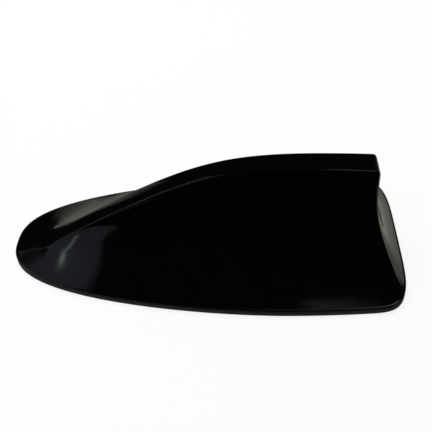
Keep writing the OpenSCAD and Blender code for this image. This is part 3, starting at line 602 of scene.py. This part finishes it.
# Stations round one side: nose, tail corner, round of the rear crease, tail face
NOSE_STEPS, CORNER_STEPS, CREASE_STEPS, TAIL_STEPS = 96, 36, 8, 14
FOOT_SHARE = float(TAIL_FACE_HALF / half_width(BODY_LENGTH))
ROUND_SHARE = 0.05
CORNER_ANGLE = float(share_angle(FOOT_SHARE))
CORNER_FOOT_X = float(corner_point(CORNER_ANGLE)[0])


def stations():
    """Foot points on the outline and crest points above them, from nose tip to the middle of the tail."""
    x_side = (BODY_LENGTH - TAIL_CORNER) * (np.arange(NOSE_STEPS + 1) / NOSE_STEPS) ** 2
    round_share = np.arange(1, CREASE_STEPS + 1) / CREASE_STEPS
    tail_share = 1 - np.arange(1, TAIL_STEPS + 1) / TAIL_STEPS
    side = np.stack([x_side, half_width(x_side)], -1)
    corner = corner_point(CORNER_ANGLE * np.arange(1, CORNER_STEPS + 1) / CORNER_STEPS)
    crease = corner_point(share_angle(FOOT_SHARE * (1 - ROUND_SHARE * round_share)))
    tail = corner_point(share_angle((1 - ROUND_SHARE) * FOOT_SHARE * tail_share))
    foot = np.concatenate([side, corner, crease, tail])

    x = foot[: NOSE_STEPS + CORNER_STEPS + 1, 0]
    gap = CORNER_FOOT_X + CREST_START - FIN_REAR + CORNER_CUT
    crest_x = CREST_START + x - gap * (x / CORNER_FOOT_X) ** 2
    first = np.stack([crest_x, crease_half(crest_x)], -1)
    first[0, 1] = 0.0
    bend = np.array([FIN_REAR, float(strip_half(FIN_REAR))])
    start, end = first[-1], bend - [0, CORNER_CUT]
    w = round_share[:, None]
    turn = (1 - w) ** 2 * start + 2 * w * (1 - w) * bend + w**2 * end
    rear = np.stack([np.full(TAIL_STEPS, FIN_REAR), end[1] * tail_share], -1)
    crest = np.concatenate([first, turn, rear])
    return foot, crest


def inward(path):
    """Unit normals of a half outline in plan, pointing in; the path is mirrored past both ends."""
    ahead = path[1] * [1, -1]
    behind = path[-2] * [1, -1]
    full = np.concatenate([[ahead], path, [behind]])
    run = full[2:] - full[:-2]
    run /= np.linalg.norm(run, axis=1)[:, None]
    return np.stack([run[:, 1], -run[:, 0]], -1)


FOOT, CREST = stations()
FOOT_IN = inward(FOOT)
CREST_IN = inward(CREST)
SIDE_LAST = NOSE_STEPS + CORNER_STEPS
CELLS = 2 * (len(FOOT) - 1 - SIDE_LAST)


def level_row(inset, level):
    """The outline, moved inwards, at one height."""
    return np.column_stack([FOOT + FOOT_IN * inset, np.full(len(FOOT), level)])


def ring(rows):
    """Near side from the nose to the tail, then the far side back: one closed ring for each row."""
    rows = np.asarray(rows)
    near = rows * [1, -1, 1]
    far = rows[:, -2:0:-1]
    return np.concatenate([near, far], axis=1)


def wall(first, rows, size, flip=False):
    """Faces between rings whose points start at number first."""
    faces = []
    for j in range(rows - 1):
        for r in range(size):
            a = first + j * size + r
            b = first + j * size + (r + 1) % size
            quad = [a, b, b + size, a + size]
            faces.append(quad[::-1] if flip else quad)
    return faces


# Cover: rows from the rim up, and how they are spaced on the flank
RIM_ROUND = ((0.32, 0.0), (0.14, 0.04), (0.04, 0.13), (0.0, 0.27))
LIP_STEPS, FLANK_STEPS, BEVEL_STEPS, FLANK_SPACING = 8, 44, 8, 1.45
INNER_STEPS, INNER_SPACING, BOSS_STEPS = 20, 1.5, 40


def outer_rows():
    """Rows of the outer face: rim, lip, flank and the round of the crease."""
    rows = [level_row(inset, RIM_LEVEL + rise) for inset, rise in RIM_ROUND]
    for t in np.linspace(0.12, 1, LIP_STEPS):
        angle = t * math.pi / 2
        level = RIM_LEVEL + LIP_FOOT + (LIP_HEIGHT - LIP_FOOT) * math.sin(angle)
        rows.append(level_row(LIP_ROUND * (1 - math.cos(angle)), level))
    base = rows[-1]
    crest = np.column_stack([CREST, strip_top(CREST[:, 0], CREST[:, 1])])
    height = crest[:, 2] - LIP_Z
    reach = np.minimum(CREASE_ROUND, 0.45 * np.maximum(CREST[:, 1], CREASE_ROUND))
    reach = np.where(np.arange(len(CREST)) > SIDE_LAST, CREASE_ROUND, reach)
    reach = np.minimum(reach, 0.8 * height + 0.1)
    bevel = np.minimum(0.35 * np.clip(crest[:, 0] / BEVEL_RUN, 0, 1), reach / height)
    for j in range(1, FLANK_STEPS + 1):
        rows.append(flank(base, crest, (1 - bevel) * (j / FLANK_STEPS) ** FLANK_SPACING))
    start = rows[-1]
    plan = CREST + CREST_IN * reach[:, None]
    top = np.column_stack([plan, strip_top(plan[:, 0], plan[:, 1])])
    for j in range(1, BEVEL_STEPS + 1):
        t = j / BEVEL_STEPS
        rows.append((1 - t) ** 2 * start + 2 * t * (1 - t) * crest + t**2 * top)
    return rows


def inner_rows():
    foot = np.column_stack([
        NOSE_SOLID + FOOT[:, 0] * (BODY_LENGTH - NOSE_SOLID - TAIL_RIM) / BODY_LENGTH,
        FOOT[:, 1] * (1 - 2 * RIM_WIDTH / BODY_WIDTH),
        np.full(len(FOOT), RIM_LEVEL),
    ])
    rear = FIN_REAR - COVER_WALL
    x = INNER_START + (CREST[:, 0] - CREST_START) * (rear - INNER_START) / (FIN_REAR - CREST_START)
    half = strip_half(x) - COVER_WALL
    side = half * np.minimum(1, np.sqrt(np.clip(x - INNER_START, 0, None) / INNER_ROUND))
    share = CREST[:, 1] / CREST[SIDE_LAST, 1]
    y = np.where(np.arange(len(CREST)) <= SIDE_LAST, side, half * share)
    crest = np.column_stack([x, y, ridge_height(x) - COVER_ROOF])
    return [flank(foot, crest, (j / INNER_STEPS) ** INNER_SPACING) for j in range(INNER_STEPS + 1)]


def inner_top(x, y):
    half = max(float(strip_half(x)) - COVER_WALL, 0.05)
    return float(ridge_height(x)) - COVER_ROOF + INNER_CROWN * max(0.0, 1 - (y / half) ** 2)


def add_top(points, faces, ring_first, edge, height, flip=False):
    """Closes the opening in a top ring: rows of cells across it, then the round rear edge."""
    size, index = len(edge), {}
    for k in range(1, SIDE_LAST + 1):
        x, y = edge[k][0], edge[k][1]
        across = y * np.cos(np.linspace(0, math.pi, CELLS + 1))[1:-1]
        first = len(points)
        index[k] = [ring_first + k, *range(first, first + len(across)), ring_first + size - k]
        points += [[x, side, height(x, side)] for side in across]
    index[SIDE_LAST + 1] = [ring_first + SIDE_LAST + i for i in range(CELLS + 1)]
    cells = [[ring_first, index[1][i], index[1][i + 1]] for i in range(CELLS)]
    for k in range(1, SIDE_LAST + 1):
        a, b = index[k], index[k + 1]
        cells += [corners_once([a[i], b[i], b[i + 1], a[i + 1]]) for i in range(CELLS)]
    faces += [cell[::-1] if flip else cell for cell in cells]


def add_boss(points, faces, x, y):
    """Screw boss with its pilot hole."""
    top = flank_height(x - BOSS_R, abs(y) + BOSS_R) - BOSS_COVER
    hole = [(0, HOLE_TOP), (HOLE_R, HOLE_TOP - 0.8), (HOLE_R, RIM_LEVEL + 0.4), (HOLE_R + 0.3, RIM_LEVEL)]
    post = [(BOSS_R - 0.2, RIM_LEVEL), (BOSS_R, RIM_LEVEL + 0.2), (BOSS_R, top), (0, top)]
    add_turned(points, faces, hole + post, BOSS_STEPS, (x, y))


def cover_piece():
    """Closed shell: outer face, inner face, the rim between them, and the bosses."""
    outer, inner = ring(outer_rows()), ring(inner_rows())
    size = outer.shape[1]
    points = list(outer.reshape(-1, 3))
    faces = wall(0, len(outer), size)
    add_top(points, faces, (len(outer) - 1) * size, outer[-1], strip_top)
    first = len(points)
    points += list(inner.reshape(-1, 3))
    faces += wall(first, len(inner), size, flip=True)
    add_top(points, faces, first + (len(inner) - 1) * size, inner[-1], inner_top, flip=True)
    for r in range(size):
        n = (r + 1) % size
        faces.append([r, first + r, first + n, n])
    for x, y in SCREW_PLACES:
        add_boss(points, faces, x, y)
    return smooth_mesh("cover_shell", points, faces, "gloss_black", 50.0)


settle(cover_piece(), "cover")


# Gasket: one section of inset and height, carried round the outline
GASKET_SECTION = [
    (0.28, 0.0), (0.1, 0.05), (0.02, 0.18), (0.0, 0.4), (0.0, 1.85), (0.04, 2.02), (0.15, 2.12),
    (0.32, 2.15), (0.8, 2.15), (0.84, 2.26), (0.95, 2.36), (1.15, 2.4), (2.45, 2.4), (2.65, 2.36),
    (2.76, 2.26), (2.8, 2.15), (2.95, 2.15), (3.1, 2.05), (3.1, 1.3), (3.2, 1.2), (5.0, 1.2),
    (5.15, 1.12), (5.2, 0.95), (5.2, 0.25), (5.1, 0.08), (4.9, 0.0), (4.5, 0.0), (4.32, 0.1),
    (4.2, 0.36), (3.5, 0.36), (3.38, 0.1), (3.2, 0.0), (2.4, 0.0), (2.22, 0.1), (2.1, 0.36),
    (1.4, 0.36), (1.28, 0.1), (1.1, 0.0),
]


def gasket_piece():
    """Closed tube: rim band, sealing bead, ledge and grooves below."""
    rings = ring([level_row(inset, level) for inset, level in GASKET_SECTION])
    size = rings.shape[1]
    faces = wall(0, len(rings), size)
    last = (len(rings) - 1) * size
    faces += [[last + r, last + (r + 1) % size, (r + 1) % size, r] for r in range(size)]
    return smooth_mesh("rubber_gasket", rings.reshape(-1, 3), faces, "gasket_rubber", 45.0)


settle(gasket_piece(), "perimeter_gasket")


# Roof fastening: threaded stud with its hexagonal head, nut and toothed washer
THREAD_R, THREAD_DEPTH, THREAD_PITCH, THREAD_ROWS = 7.0, 0.62, 1.5, 10
NECK_R, NECK_BOTTOM, THREAD_BOTTOM, STUD_BOTTOM, PILOT_R = 6.6, -2.4, -13.0, -18.0, 6.2
HEAD_CORNER_R, HEAD_ROUND_R, HEAD_FACE_R, HEAD_TOP, PLATE_TOP = 11.5, 10.0, 9.0, 5.0, 2.4
LEAD_BORE_R, POCKET_R, POCKET_FLOOR, SHOULDER = 4.0, 4.6, 0.4, 0.2
NUT_CORNER_R, NUT_TOP, NUT_HEIGHT = 12.7, -4.2, 7.0
NUT_TOP_R, NUT_CHAMFER_R, NUT_FACE_R = 11.0, 11.7, 10.4
WASHER_R, WASHER_TOP, WASHER_THICKNESS = 13.5, -3.2, 1.0
TOOTH_COUNT, TOOTH_HEIGHT, TOOTH_TAPER = 8, 0.8, 0.25
TOOTH_SIDE = [(-2.4, -0.3), (-1.9, 0.12), (-0.9, 0.42), (-0.35, 0.74), (-0.2, TOOTH_HEIGHT), (-0.2, -0.3)]
BOLT_STEPS, BOLT_SHARP_DEG, WASHER_STEPS = 120, 18.0, 96


def bolt_piece(name, finish, profile):
    """A turned piece with a bore, finely stepped for its thread."""
    points, faces = [], []
    add_turned(points, faces, profile, BOLT_STEPS, closed=True)
    return smooth_mesh(name, points, faces, finish, BOLT_SHARP_DEG)


def thread_rows(radius, bottom, top):
    count = round((top - bottom) / THREAD_PITCH * THREAD_ROWS)
    style = ("thread", THREAD_DEPTH, THREAD_PITCH)
    return [(radius, bottom + (top - bottom) * i / count, style) for i in range(count + 1)]


def stud_piece():
    """Down the bore, up the outside over thread, neck and head, and into the gland's pocket."""
    hexed = ("hex", HEAD_CORNER_R)
    return bolt_piece("threaded_stud", "zinc_plated", [
        (LEAD_BORE_R, POCKET_FLOOR), (LEAD_BORE_R, STUD_BOTTOM + 0.4), (LEAD_BORE_R + 0.4, STUD_BOTTOM),
        (PILOT_R - 0.7, STUD_BOTTOM), (PILOT_R, STUD_BOTTOM + 0.7), (PILOT_R, THREAD_BOTTOM - 0.1),
        *thread_rows(THREAD_R, THREAD_BOTTOM, NECK_BOTTOM - 0.5),
        (NECK_R - 0.3, NECK_BOTTOM - 0.3), (NECK_R, NECK_BOTTOM), (NECK_R, SHOULDER), (THREAD_R, SHOULDER),
        (THREAD_R, PLATE_TOP), (HEAD_ROUND_R, PLATE_TOP, hexed), (HEAD_CORNER_R, PLATE_TOP + 0.3, hexed),
        (HEAD_CORNER_R, HEAD_TOP - 0.5, hexed), (HEAD_ROUND_R, HEAD_TOP, hexed), (HEAD_FACE_R, HEAD_TOP),
        (POCKET_R + 0.3, HEAD_TOP), (POCKET_R, HEAD_TOP - 0.3), (POCKET_R, POCKET_FLOOR),
    ])


def nut_piece():
    """Down the outside of the nut and up its threaded bore."""
    hexed, bottom, bore_mouth_r = ("hex", NUT_CORNER_R), NUT_TOP - NUT_HEIGHT, THREAD_R + 0.3
    return bolt_piece("hexagon_nut", "zinc_plated", [
        (bore_mouth_r, NUT_TOP), (NUT_TOP_R, NUT_TOP, hexed), (NUT_CORNER_R, NUT_TOP, hexed),
        (NUT_CORNER_R, bottom + 1.0, hexed), (NUT_CHAMFER_R, bottom, hexed), (NUT_FACE_R, bottom),
        (bore_mouth_r, bottom), *thread_rows(THREAD_R + 0.05, bottom + 0.4, NUT_TOP - 0.4),
    ])


def add_tooth(points, faces, turn):
    """Bent tooth that points up and narrows towards its tip."""
    first, n = len(points), len(TOOTH_SIDE)
    for half in (-1.0, 1.0):
        for along, rise in TOOTH_SIDE:
            reach, width = WASHER_R + along, half * (1.0 - TOOTH_TAPER * max(0.0, rise) / TOOTH_HEIGHT)
            x = reach * math.cos(turn) - width * math.sin(turn)
            y = reach * math.sin(turn) + width * math.cos(turn)
            points.append([STUD_FROM_NOSE + x, y, WASHER_TOP + rise])
    near, far = range(first, first + n), range(first + n, first + 2 * n)
    faces.append(list(near))
    faces.append(list(far)[::-1])
    faces += [[near[(i + 1) % n], near[i], far[i], far[(i + 1) % n]] for i in range(n)]


def washer_piece():
    """Flat ring with bent teeth that bite into the roof skin."""
    points, faces = [], []
    low, bore_r = WASHER_TOP - WASHER_THICKNESS, THREAD_R + 0.2
    add_turned(points, faces, [
        (bore_r, low + 0.1), (bore_r + 0.1, low), (WASHER_R - 0.15, low), (WASHER_R, low + 0.15),
        (WASHER_R, WASHER_TOP - 0.1), (WASHER_R - 0.1, WASHER_TOP),
        (bore_r + 0.1, WASHER_TOP), (bore_r, WASHER_TOP - 0.1),
    ], WASHER_STEPS, closed=True)
    for tooth in range(TOOTH_COUNT):
        add_tooth(points, faces, 2 * math.pi * tooth / TOOTH_COUNT)
    return smooth_mesh("tooth_washer", points, faces, "zinc_yellow", 35.0)


settle(stud_piece(), "mounting_stud")
settle(nut_piece(), "stud_nut")
settle(washer_piece(), "toothed_washer")


# Copies: one small model, placed and turned by Geometry Nodes
def places_mesh(name, places):
    """Points in millimetres behind the nose tip, each with the turn of its copy."""
    mesh = bpy.data.meshes.new(name)
    mesh.from_pydata([((x - STUD_FROM_NOSE) * MM, y * MM, z * MM) for x, y, z, _ in places], [], [])
    turn = mesh.attributes.new("turn", "FLOAT_VECTOR", "POINT")
    turn.data.foreach_set("vector", [v for place in places for v in (0.0, 0.0, place[3])])
    return mesh


def copies(name, node, finish, model, places, sharp_deg=40.0):
    """Copies of one small model, turned as its points say."""
    tree = Pattern(name, {"Size": 1.0})
    shape = tree.node("GeometryNodeObjectInfo", {"Object": model}, transform_space="ORIGINAL")
    turn = tree.node("GeometryNodeInputNamedAttribute", {"Name": "turn"}, data_type="FLOAT_VECTOR")
    spread = tree.node("GeometryNodeInstanceOnPoints", {
        "Points": tree.given["Geometry"], "Instance": shape["Geometry"], "Rotation": turn["Attribute"],
        "Scale": tree.given["Size"],
    })
    tree.close(spread, finish)
    piece = tree.grow(name, places_mesh(name, places), sharp_deg)
    bpy.data.objects.remove(model)
    return settle(piece, node)


def model_of(name, points, faces):
    """A small model round the origin, kept out of the scene until it is copied."""
    mesh = bpy.data.meshes.new(name)
    mesh.from_pydata((np.asarray(points) * MM).tolist(), [], faces)
    face_outwards(mesh)
    return bpy.data.objects.new(name, mesh)


# Screws. A head is radius and height from the rim of its cross recess outwards. A recess is the reach
# and half width of its arms, and the levels of its floor and rim
COVER_SCREW = {
    "head": [(2.65, 0.0), (2.78, 0.1), (2.75, 0.22), (1.45, 1.35)],
    "recess": (1.6, 0.3, 0.8, 0.0), "shank_r": 1.45, "pitch": 1.1,
}
SMALL_SCREW = {
    "head": [(1.5, 1.2), (1.75, 1.08), (1.9, 0.75), (1.9, 0.1), (1.8, 0.0), (0.95, 0.0)],
    "recess": (1.1, 0.25, 0.6, 1.2), "shank_r": 1.0, "pitch": 0.8,
}
SCREW_STEPS, SHANK_ROWS, PLATE_UNDERSIDE = 32, 6, 0.4


def screw_model(name, head, recess, shank_r, tip, pitch):
    """Head with its recess, then a threaded shank with a blunt point."""
    reach, width, floor_level, rim_level = recess
    way = 1 if tip > rim_level else -1
    cross, thread = ("cross", width), ("thread", 0.3 * shank_r, pitch)
    start = head[-1][1] + way * 0.3
    count = round(abs(tip - start) / pitch * SHANK_ROWS) - 3
    profile = [(0, floor_level), (0.62 * reach, floor_level - way * 0.12, cross), (reach, rim_level, cross)]
    profile += head
    profile += [(shank_r, start + way * pitch * i / SHANK_ROWS, thread) for i in range(count)]
    profile += [(0.55 * shank_r, tip - way * 0.12), (0.3 * shank_r, tip), (0, tip)]
    points, faces = [], []
    add_turned(points, faces, profile, SCREW_STEPS, (0.0, 0.0))
    return model_of(name, points, faces)


def screws(name, node, sizes, tip, places, level, turns):
    """Screws of one kind at one level, each turned further than the one before."""
    first_turn, turn_step = turns
    screw = screw_model(name + "_model", tip=tip, **sizes)
    stands = [(x, y, level, turn_step * i + first_turn) for i, (x, y) in enumerate(places)]
    copies(name, node, "plated_screws", screw, stands)


screws("countersunk_screws", "cover_screws", COVER_SCREW, 6.2,
       SCREW_PLACES, PLATE_UNDERSIDE, (0.3, 0.7))
screws("pan_head_board_screws", "board_screws", SMALL_SCREW, -4.4,
       BOARD_SCREW_PLACES, BOARD_TOP, (0.0, 0.9))
screws("pan_head_carrier_screws", "carrier_screws", SMALL_SCREW, -5.0,
       CARRIER_SCREW_PLACES, CARRIER_FOOT_TOP, (0.5, 1.0))


# Wound wire: a spiral path with flat end turns and a round section
PATH_STEPS, WIRE_SIDES, WIRE_SHARP_DEG = 40, 12, 60.0


def winding(name, node, finish, sizes):
    tree = Pattern(name, sizes)
    given = tree.given
    path = tree.node("GeometryNodeCurveSpiral", {
        "Resolution": PATH_STEPS, "Rotations": given["Turns"], "Start Radius": given["Coil radius"],
        "End Radius": given["Coil radius"], "Height": 0.0,
    })
    along = tree.node("GeometryNodeSplineParameter")["Factor"] * given["Turns"]
    climb = tree.node("ShaderNodeMapRange", {
        "Value": along, "From Min": given["Flat turns"], "From Max": given["Turns"] - given["Flat turns"],
        "To Min": given["Bottom"], "To Max": given["Top"],
    })[0]
    lift = tree.node("ShaderNodeCombineXYZ", {"X": given["Place"], "Z": climb})
    raised = tree.node("GeometryNodeSetPosition", {"Geometry": path, "Offset": lift})
    circle = {"Resolution": WIRE_SIDES, "Radius": given["Wire radius"]}
    section = tree.node("GeometryNodeCurvePrimitiveCircle", circle)
    wire = tree.node("GeometryNodeCurveToMesh", {
        "Curve": raised, "Profile Curve": section["Curve"], "Fill Caps": True,
    })
    tree.close(wire, finish)
    return settle(tree.grow(name, bpy.data.meshes.new(name), WIRE_SHARP_DEG), node)


COIL_PLACE = (COIL_STATION - STUD_FROM_NOSE) * MM
winding("copper_winding", "loading_coil", "copper_wire", {
    "Turns": 9.0, "Flat turns": 0.0, "Coil radius": 3.05 * MM, "Wire radius": 0.34 * MM,
    "Bottom": 12.66 * MM, "Top": 23.74 * MM, "Place": COIL_PLACE,
})
winding("spring_wire", "contact_spring", "brass_sheet", {
    "Turns": 4.0, "Flat turns": 0.5, "Coil radius": 1.7 * MM, "Wire radius": 0.21 * MM,
    "Bottom": 7.82 * MM, "Top": 10.98 * MM, "Place": COIL_PLACE,
})


# Legs of the chips: bent strips along two or four sides
LEG_BEND = [(0.0, 0.42), (0.22, 0.42), (0.34, 0.3), (0.4, 0.06), (0.5, 0.0), (0.72, 0.0)]
LEG_HALF_WIDTH, LEG_THICKNESS, LEG_PITCH, LEG_INSET, CORNER_FREE = 0.1, 0.08, 0.65, 0.04, 0.8


def leg_model():
    """One leg: lower and upper line of the bend at each edge, and the faces between them."""
    points = [
        (x, side * LEG_HALF_WIDTH, z + skin)
        for side in (-1, 1)
        for skin in (0.0, LEG_THICKNESS)
        for x, z in LEG_BEND
    ]
    n = len(LEG_BEND)
    faces = []
    for i in range(n - 1):
        faces += [[i, i + 1, 2 * n + i + 1, 2 * n + i], [n + i, 3 * n + i, 3 * n + i + 1, n + i + 1]]
        faces += [[i, n + i, n + i + 1, i + 1], [2 * n + i, 2 * n + i + 1, 3 * n + i + 1, 3 * n + i]]
    faces += [[0, 2 * n, 3 * n, n], [n - 1, 2 * n - 1, 4 * n - 1, 3 * n - 1]]
    return model_of("chip_leg", points, faces)


def leg_places():
    places = []
    for x, y, length, width, pairs in CHIPS:
        for along, reach, turn in ((length, width, 0.5 * math.pi), (width, length, 0.0))[:pairs]:
            count = int((along - CORNER_FREE) / LEG_PITCH)
            out = reach / 2 - LEG_INSET
            for i in range(count + 1):
                offset = (i - count / 2) * LEG_PITCH
                for angle in (turn, turn + math.pi):
                    leg_x = x + math.cos(angle) * out - math.sin(turn) * offset
                    leg_y = y + math.sin(angle) * out + math.cos(turn) * offset
                    places.append((leg_x, leg_y, BOARD_TOP, angle))
    return places


copies("chip_legs", None, "tinned_sheet", leg_model(), leg_places(), 30.0)


# Camera, fitted to the edges that were traced in the photo
PHOTO_PX, SENSOR_MM = 432, 36.0


def camera():
    turn, look, roll = 0.0802, math.radians(43.0), -0.0654
    focus_px, distance, target = 659.36, 280.486, Vector((89.354 - STUD_FROM_NOSE, 0, 16.515))
    back = Vector((math.sin(turn) * math.cos(look), -math.cos(turn) * math.cos(look), math.sin(look)))
    right = Vector((math.cos(turn), math.sin(turn), 0))
    up = back.cross(right)
    right_rolled = right * math.cos(roll) + up * math.sin(roll)
    up_rolled = up * math.cos(roll) - right * math.sin(roll)
    data = bpy.data.cameras.new("camera")
    data.sensor_width = SENSOR_MM
    data.lens = SENSOR_MM * focus_px / PHOTO_PX
    data.clip_start, data.clip_end = 0.005, 20.0
    data.dof.use_dof = False
    made = add_object("camera", data)
    basis = Matrix((right_rolled, up_rolled, back)).transposed().to_4x4()
    made.matrix_world = Matrix.Translation((target + back * distance) * MM) @ basis
    bpy.context.scene.camera = made


# Studio. The camera sees a white floor and backdrop, and the gloss mirrors a dark room with a few lights
WHITE, WINDOW_TINT, TUBE_TINT = grey(1.0), (0.8, 0.86, 1.0), (0.88, 1.0, 0.96)
LAMP_TINT, PANEL_TINT = (0.86, 0.92, 1.0), (1.0, 0.9, 0.76)
WALL_TINT, FLOOR_TINT, CARD_TINT = (0.96, 1.0, 0.86), (0.95, 1.0, 0.86), (0.98, 1.0, 0.88)
WINDOW_LIGHT, DARK_ROOM, PALE_ROOM = 0.24, 0.0015, 0.45
FLOOR_HALF, CARD_Y = 3.0, 0.1


def blank_finish(name):
    finish = bpy.data.materials.new(name)
    return finish, Graph(empty_tree(finish))


def sheet(name, corners, finish):
    mesh = bpy.data.meshes.new(name)
    mesh.from_pydata(corners, [], [tuple(range(len(corners)))])
    mesh.materials.append(finish)
    return add_object(name, mesh)


def floor():
    """Pale floor. In reflections it is lit ahead, behind and under the aerial, and dark beside it."""
    finish, graph = blank_finish("floor")
    rays = graph.node("ShaderNodeLightPath")
    x, y, _ = graph.axes(graph.node("ShaderNodeTexCoord")["Object"])
    far_side = (y + x * 0.35).ramp(-0.02, 0.03)
    ahead = x.ramp(0.0, -0.04)
    behind = x.ramp(0.06, 0.09) * (y - x * 0.8).ramp(0.06, 0.02)
    beneath = y.apply("ABSOLUTE").ramp(0.05, 0.038)
    beneath = beneath * x.ramp(0.1, 0.085) * x.ramp(-0.12, -0.1)
    lit = (far_side * ahead.apply("MAXIMUM", behind)).apply("MAXIMUM", beneath)
    window = x.ramp(-0.1, -0.16) * (y - x * 0.9).ramp(-0.02, 0.05) * (1 - lit)
    mirrored = graph.add(
        graph.light("ShaderNodeEmission", FLOOR_TINT, lit * 0.4 + DARK_ROOM),
        graph.light("ShaderNodeEmission", WINDOW_TINT, window * WINDOW_LIGHT),
    )
    shade = graph.node("ShaderNodeBsdfDiffuse", {"Color": (*grey(0.8), 1.0)})
    seen = graph.mix(rays["Is Camera Ray"] * 0.82, shade, graph.light("ShaderNodeEmission", WHITE, 1.0))
    from_above = graph.mix(rays["Is Glossy Ray"], seen, mirrored)
    below = graph.node("ShaderNodeNewGeometry")["Backfacing"]
    both = graph.mix(below, from_above, graph.node("ShaderNodeBsdfTransparent"))
    graph.node("ShaderNodeOutputMaterial", {"Surface": both})
    half = FLOOR_HALF
    made = sheet("floor", [(-half, -half, 0), (half, -half, 0), (half, half, 0), (-half, half, 0)], finish)


def window_mask(x, y, ceiling_x, ceiling_y):
    """Window ahead on the left, with its near corner cut off."""
    near = (ceiling_y - ceiling_x * 1.08).ramp(0.53, 0.65)
    cut_corner = (ceiling_y - ceiling_x * 2.56).ramp(1.76, 1.97)
    far = (ceiling_y + ceiling_x * 0.13).ramp(0.815, 0.765)
    left = (y - x * 0.9).ramp(-0.2, -0.08)
    right = ceiling_x.ramp(-0.36, -0.43)
    return near.apply("MAXIMUM", cut_corner) * far * left * right


def tube_mask(ceiling_x, ceiling_y):
    """Bent tube in the window: a slanting stem and a foot."""
    across = ceiling_x * 0.87 - ceiling_y * 0.49
    along = ceiling_x * 0.49 + ceiling_y * 0.87
    stem = across.band(-1.125, -1.075, 0.055)
    stem = stem * along.ramp(-1.7, -0.8) * along.ramp(-0.1, -0.3)
    foot = ceiling_y.band(0.34, 0.42, 0.07) * ceiling_x.band(-1.1, -0.78, 0.18)
    return (stem * 0.8).apply("MAXIMUM", foot)


def lamp_mask(ceiling_x, ceiling_y):
    """Low lamp behind the right shoulder, which fades to the right."""
    near = (ceiling_y - ceiling_x * 0.65).ramp(-0.118, -0.088)
    rear = (ceiling_y - ceiling_x * 0.37).ramp(-0.01, 0.01)
    inside = ceiling_x.ramp(0.07, 0.11) * ceiling_y.ramp(0.3, 0.24)
    fade = ceiling_x.ramp(0.26, 0.1) * 0.75 + 0.25
    return near.apply("MAXIMUM", rear) * inside * fade


def world():
    """The room by direction. Places on its ceiling are taken on a plane one unit up."""
    made = bpy.data.worlds.new("studio")
    bpy.context.scene.world = made
    graph = Graph(empty_tree(made))
    rays = graph.node("ShaderNodeLightPath")
    x, y, z = graph.axes(graph.node("ShaderNodeTexCoord")["Generated"])
    up = z.apply("MAXIMUM", 0.02)
    ceiling_x, ceiling_y = x / up, y / up
    above = z.ramp(0.0, 0.05)
    window = window_mask(x, y, ceiling_x, ceiling_y) * above
    glow = ceiling_y.band(0.2, 0.45, 0.3) * ceiling_x.band(-1.3, -0.6, 0.4) * window
    tube = tube_mask(ceiling_x, ceiling_y) * above
    lamp = lamp_mask(ceiling_x, ceiling_y) * above
    # Panel that only the rear crease mirrors, warm ahead and cool behind
    panel = ceiling_y.band(0.4, 0.6, 0.03) * above
    warm_panel = panel * ceiling_x.band(-0.03, 0.18, 0.05)
    cool_panel = panel * ceiling_x.band(0.18, 0.5, 0.05)
    # Lit walls, one far on the left and one behind, and the ground below the horizon
    turn = y.apply("ARCTAN2", x)
    above_floor = z.ramp(-0.1, 0.0)
    left_wall = turn.band(1.88, 2.15, 0.06) * z.ramp(0.38, 0.05) * above_floor
    rear_wall = turn.band(0.45, 0.9, 0.12) * z.ramp(0.28, 0.06) * above_floor
    ground = z.ramp(0.0, -0.15)

    def lit(tint, strength):
        return graph.light("ShaderNodeBackground", tint, strength)

    mirrored = lit(WINDOW_TINT, window * WINDOW_LIGHT + glow * 0.2)
    for tint, strength in (
        (TUBE_TINT, tube * 2.2),
        (LAMP_TINT, lamp * WINDOW_LIGHT + cool_panel * 2.0),
        (PANEL_TINT, warm_panel * 0.9),
        (WALL_TINT, left_wall * 0.5 + rear_wall * 0.6),
        (WHITE, ground * 0.55 + DARK_ROOM),
    ):
        mirrored = graph.add(mirrored, lit(tint, strength))
    unseen = graph.mix(rays["Is Glossy Ray"], lit(WHITE, PALE_ROOM), mirrored)
    both = graph.mix(rays["Is Camera Ray"], unseen, lit(WHITE, 1.0))
    graph.node("ShaderNodeOutputWorld", {"Surface": both})


def card(name, corners, strength_at, cover_at):
    """Upright card beside the aerial, seen only in reflections, with its light and cover at each (x, z)."""
    finish, graph = blank_finish(name)
    x, _, z = graph.axes(graph.node("ShaderNodeTexCoord")["Object"])
    light = graph.light("ShaderNodeEmission", CARD_TINT, strength_at(x, z))
    solid = graph.mix(cover_at(x, z), graph.node("ShaderNodeBsdfTransparent"), light)
    graph.node("ShaderNodeOutputMaterial", {"Surface": solid})
    made = sheet(name, [(x, CARD_Y, z) for x, z in corners], finish)
    made.visible_camera = made.visible_diffuse = made.visible_transmission = made.visible_shadow = False


def softbox(name, place, aim, size, power):
    """A soft lamp that lights the surfaces but isn't mirrored in them."""
    data = bpy.data.lights.new(name, "AREA")
    data.shape = "RECTANGLE"
    data.size, data.size_y = size
    data.energy = power
    made = add_object(name, data)
    made.location = place
    made.rotation_euler = (Vector(aim) - Vector(place)).to_track_quat("-Z", "Y").to_euler()
    made.visible_glossy = False


camera()
floor()
world()
# A lit card for the far side of the nose, and a dark one for the top edge behind it
card("lit_card", [(-0.138, 0.0), (-0.09, 0.0), (-0.09, 0.055), (-0.11, 0.068), (-0.138, 0.056)],
     lambda x, z: z.ramp(0.085, 0.0) * 0.36,
     lambda x, z: x.ramp(-0.138, -0.12) * z.ramp(0.004, 0.016))
card("dark_card", [(-0.09, 0.0), (0.085, 0.0), (0.085, 0.3), (-0.09, 0.3)],
     lambda x, z: z.ramp(0.0, 0.3) * 0.001,
     lambda x, z: x.ramp(-0.09, -0.08) * z.ramp(0.01, 0.03))
softbox("top_light", (-0.25, 0.3, 0.9), (0, 0, 0), (0.8, 0.8), 9.0)
bpy.context.scene.view_settings.view_transform = "Standard"
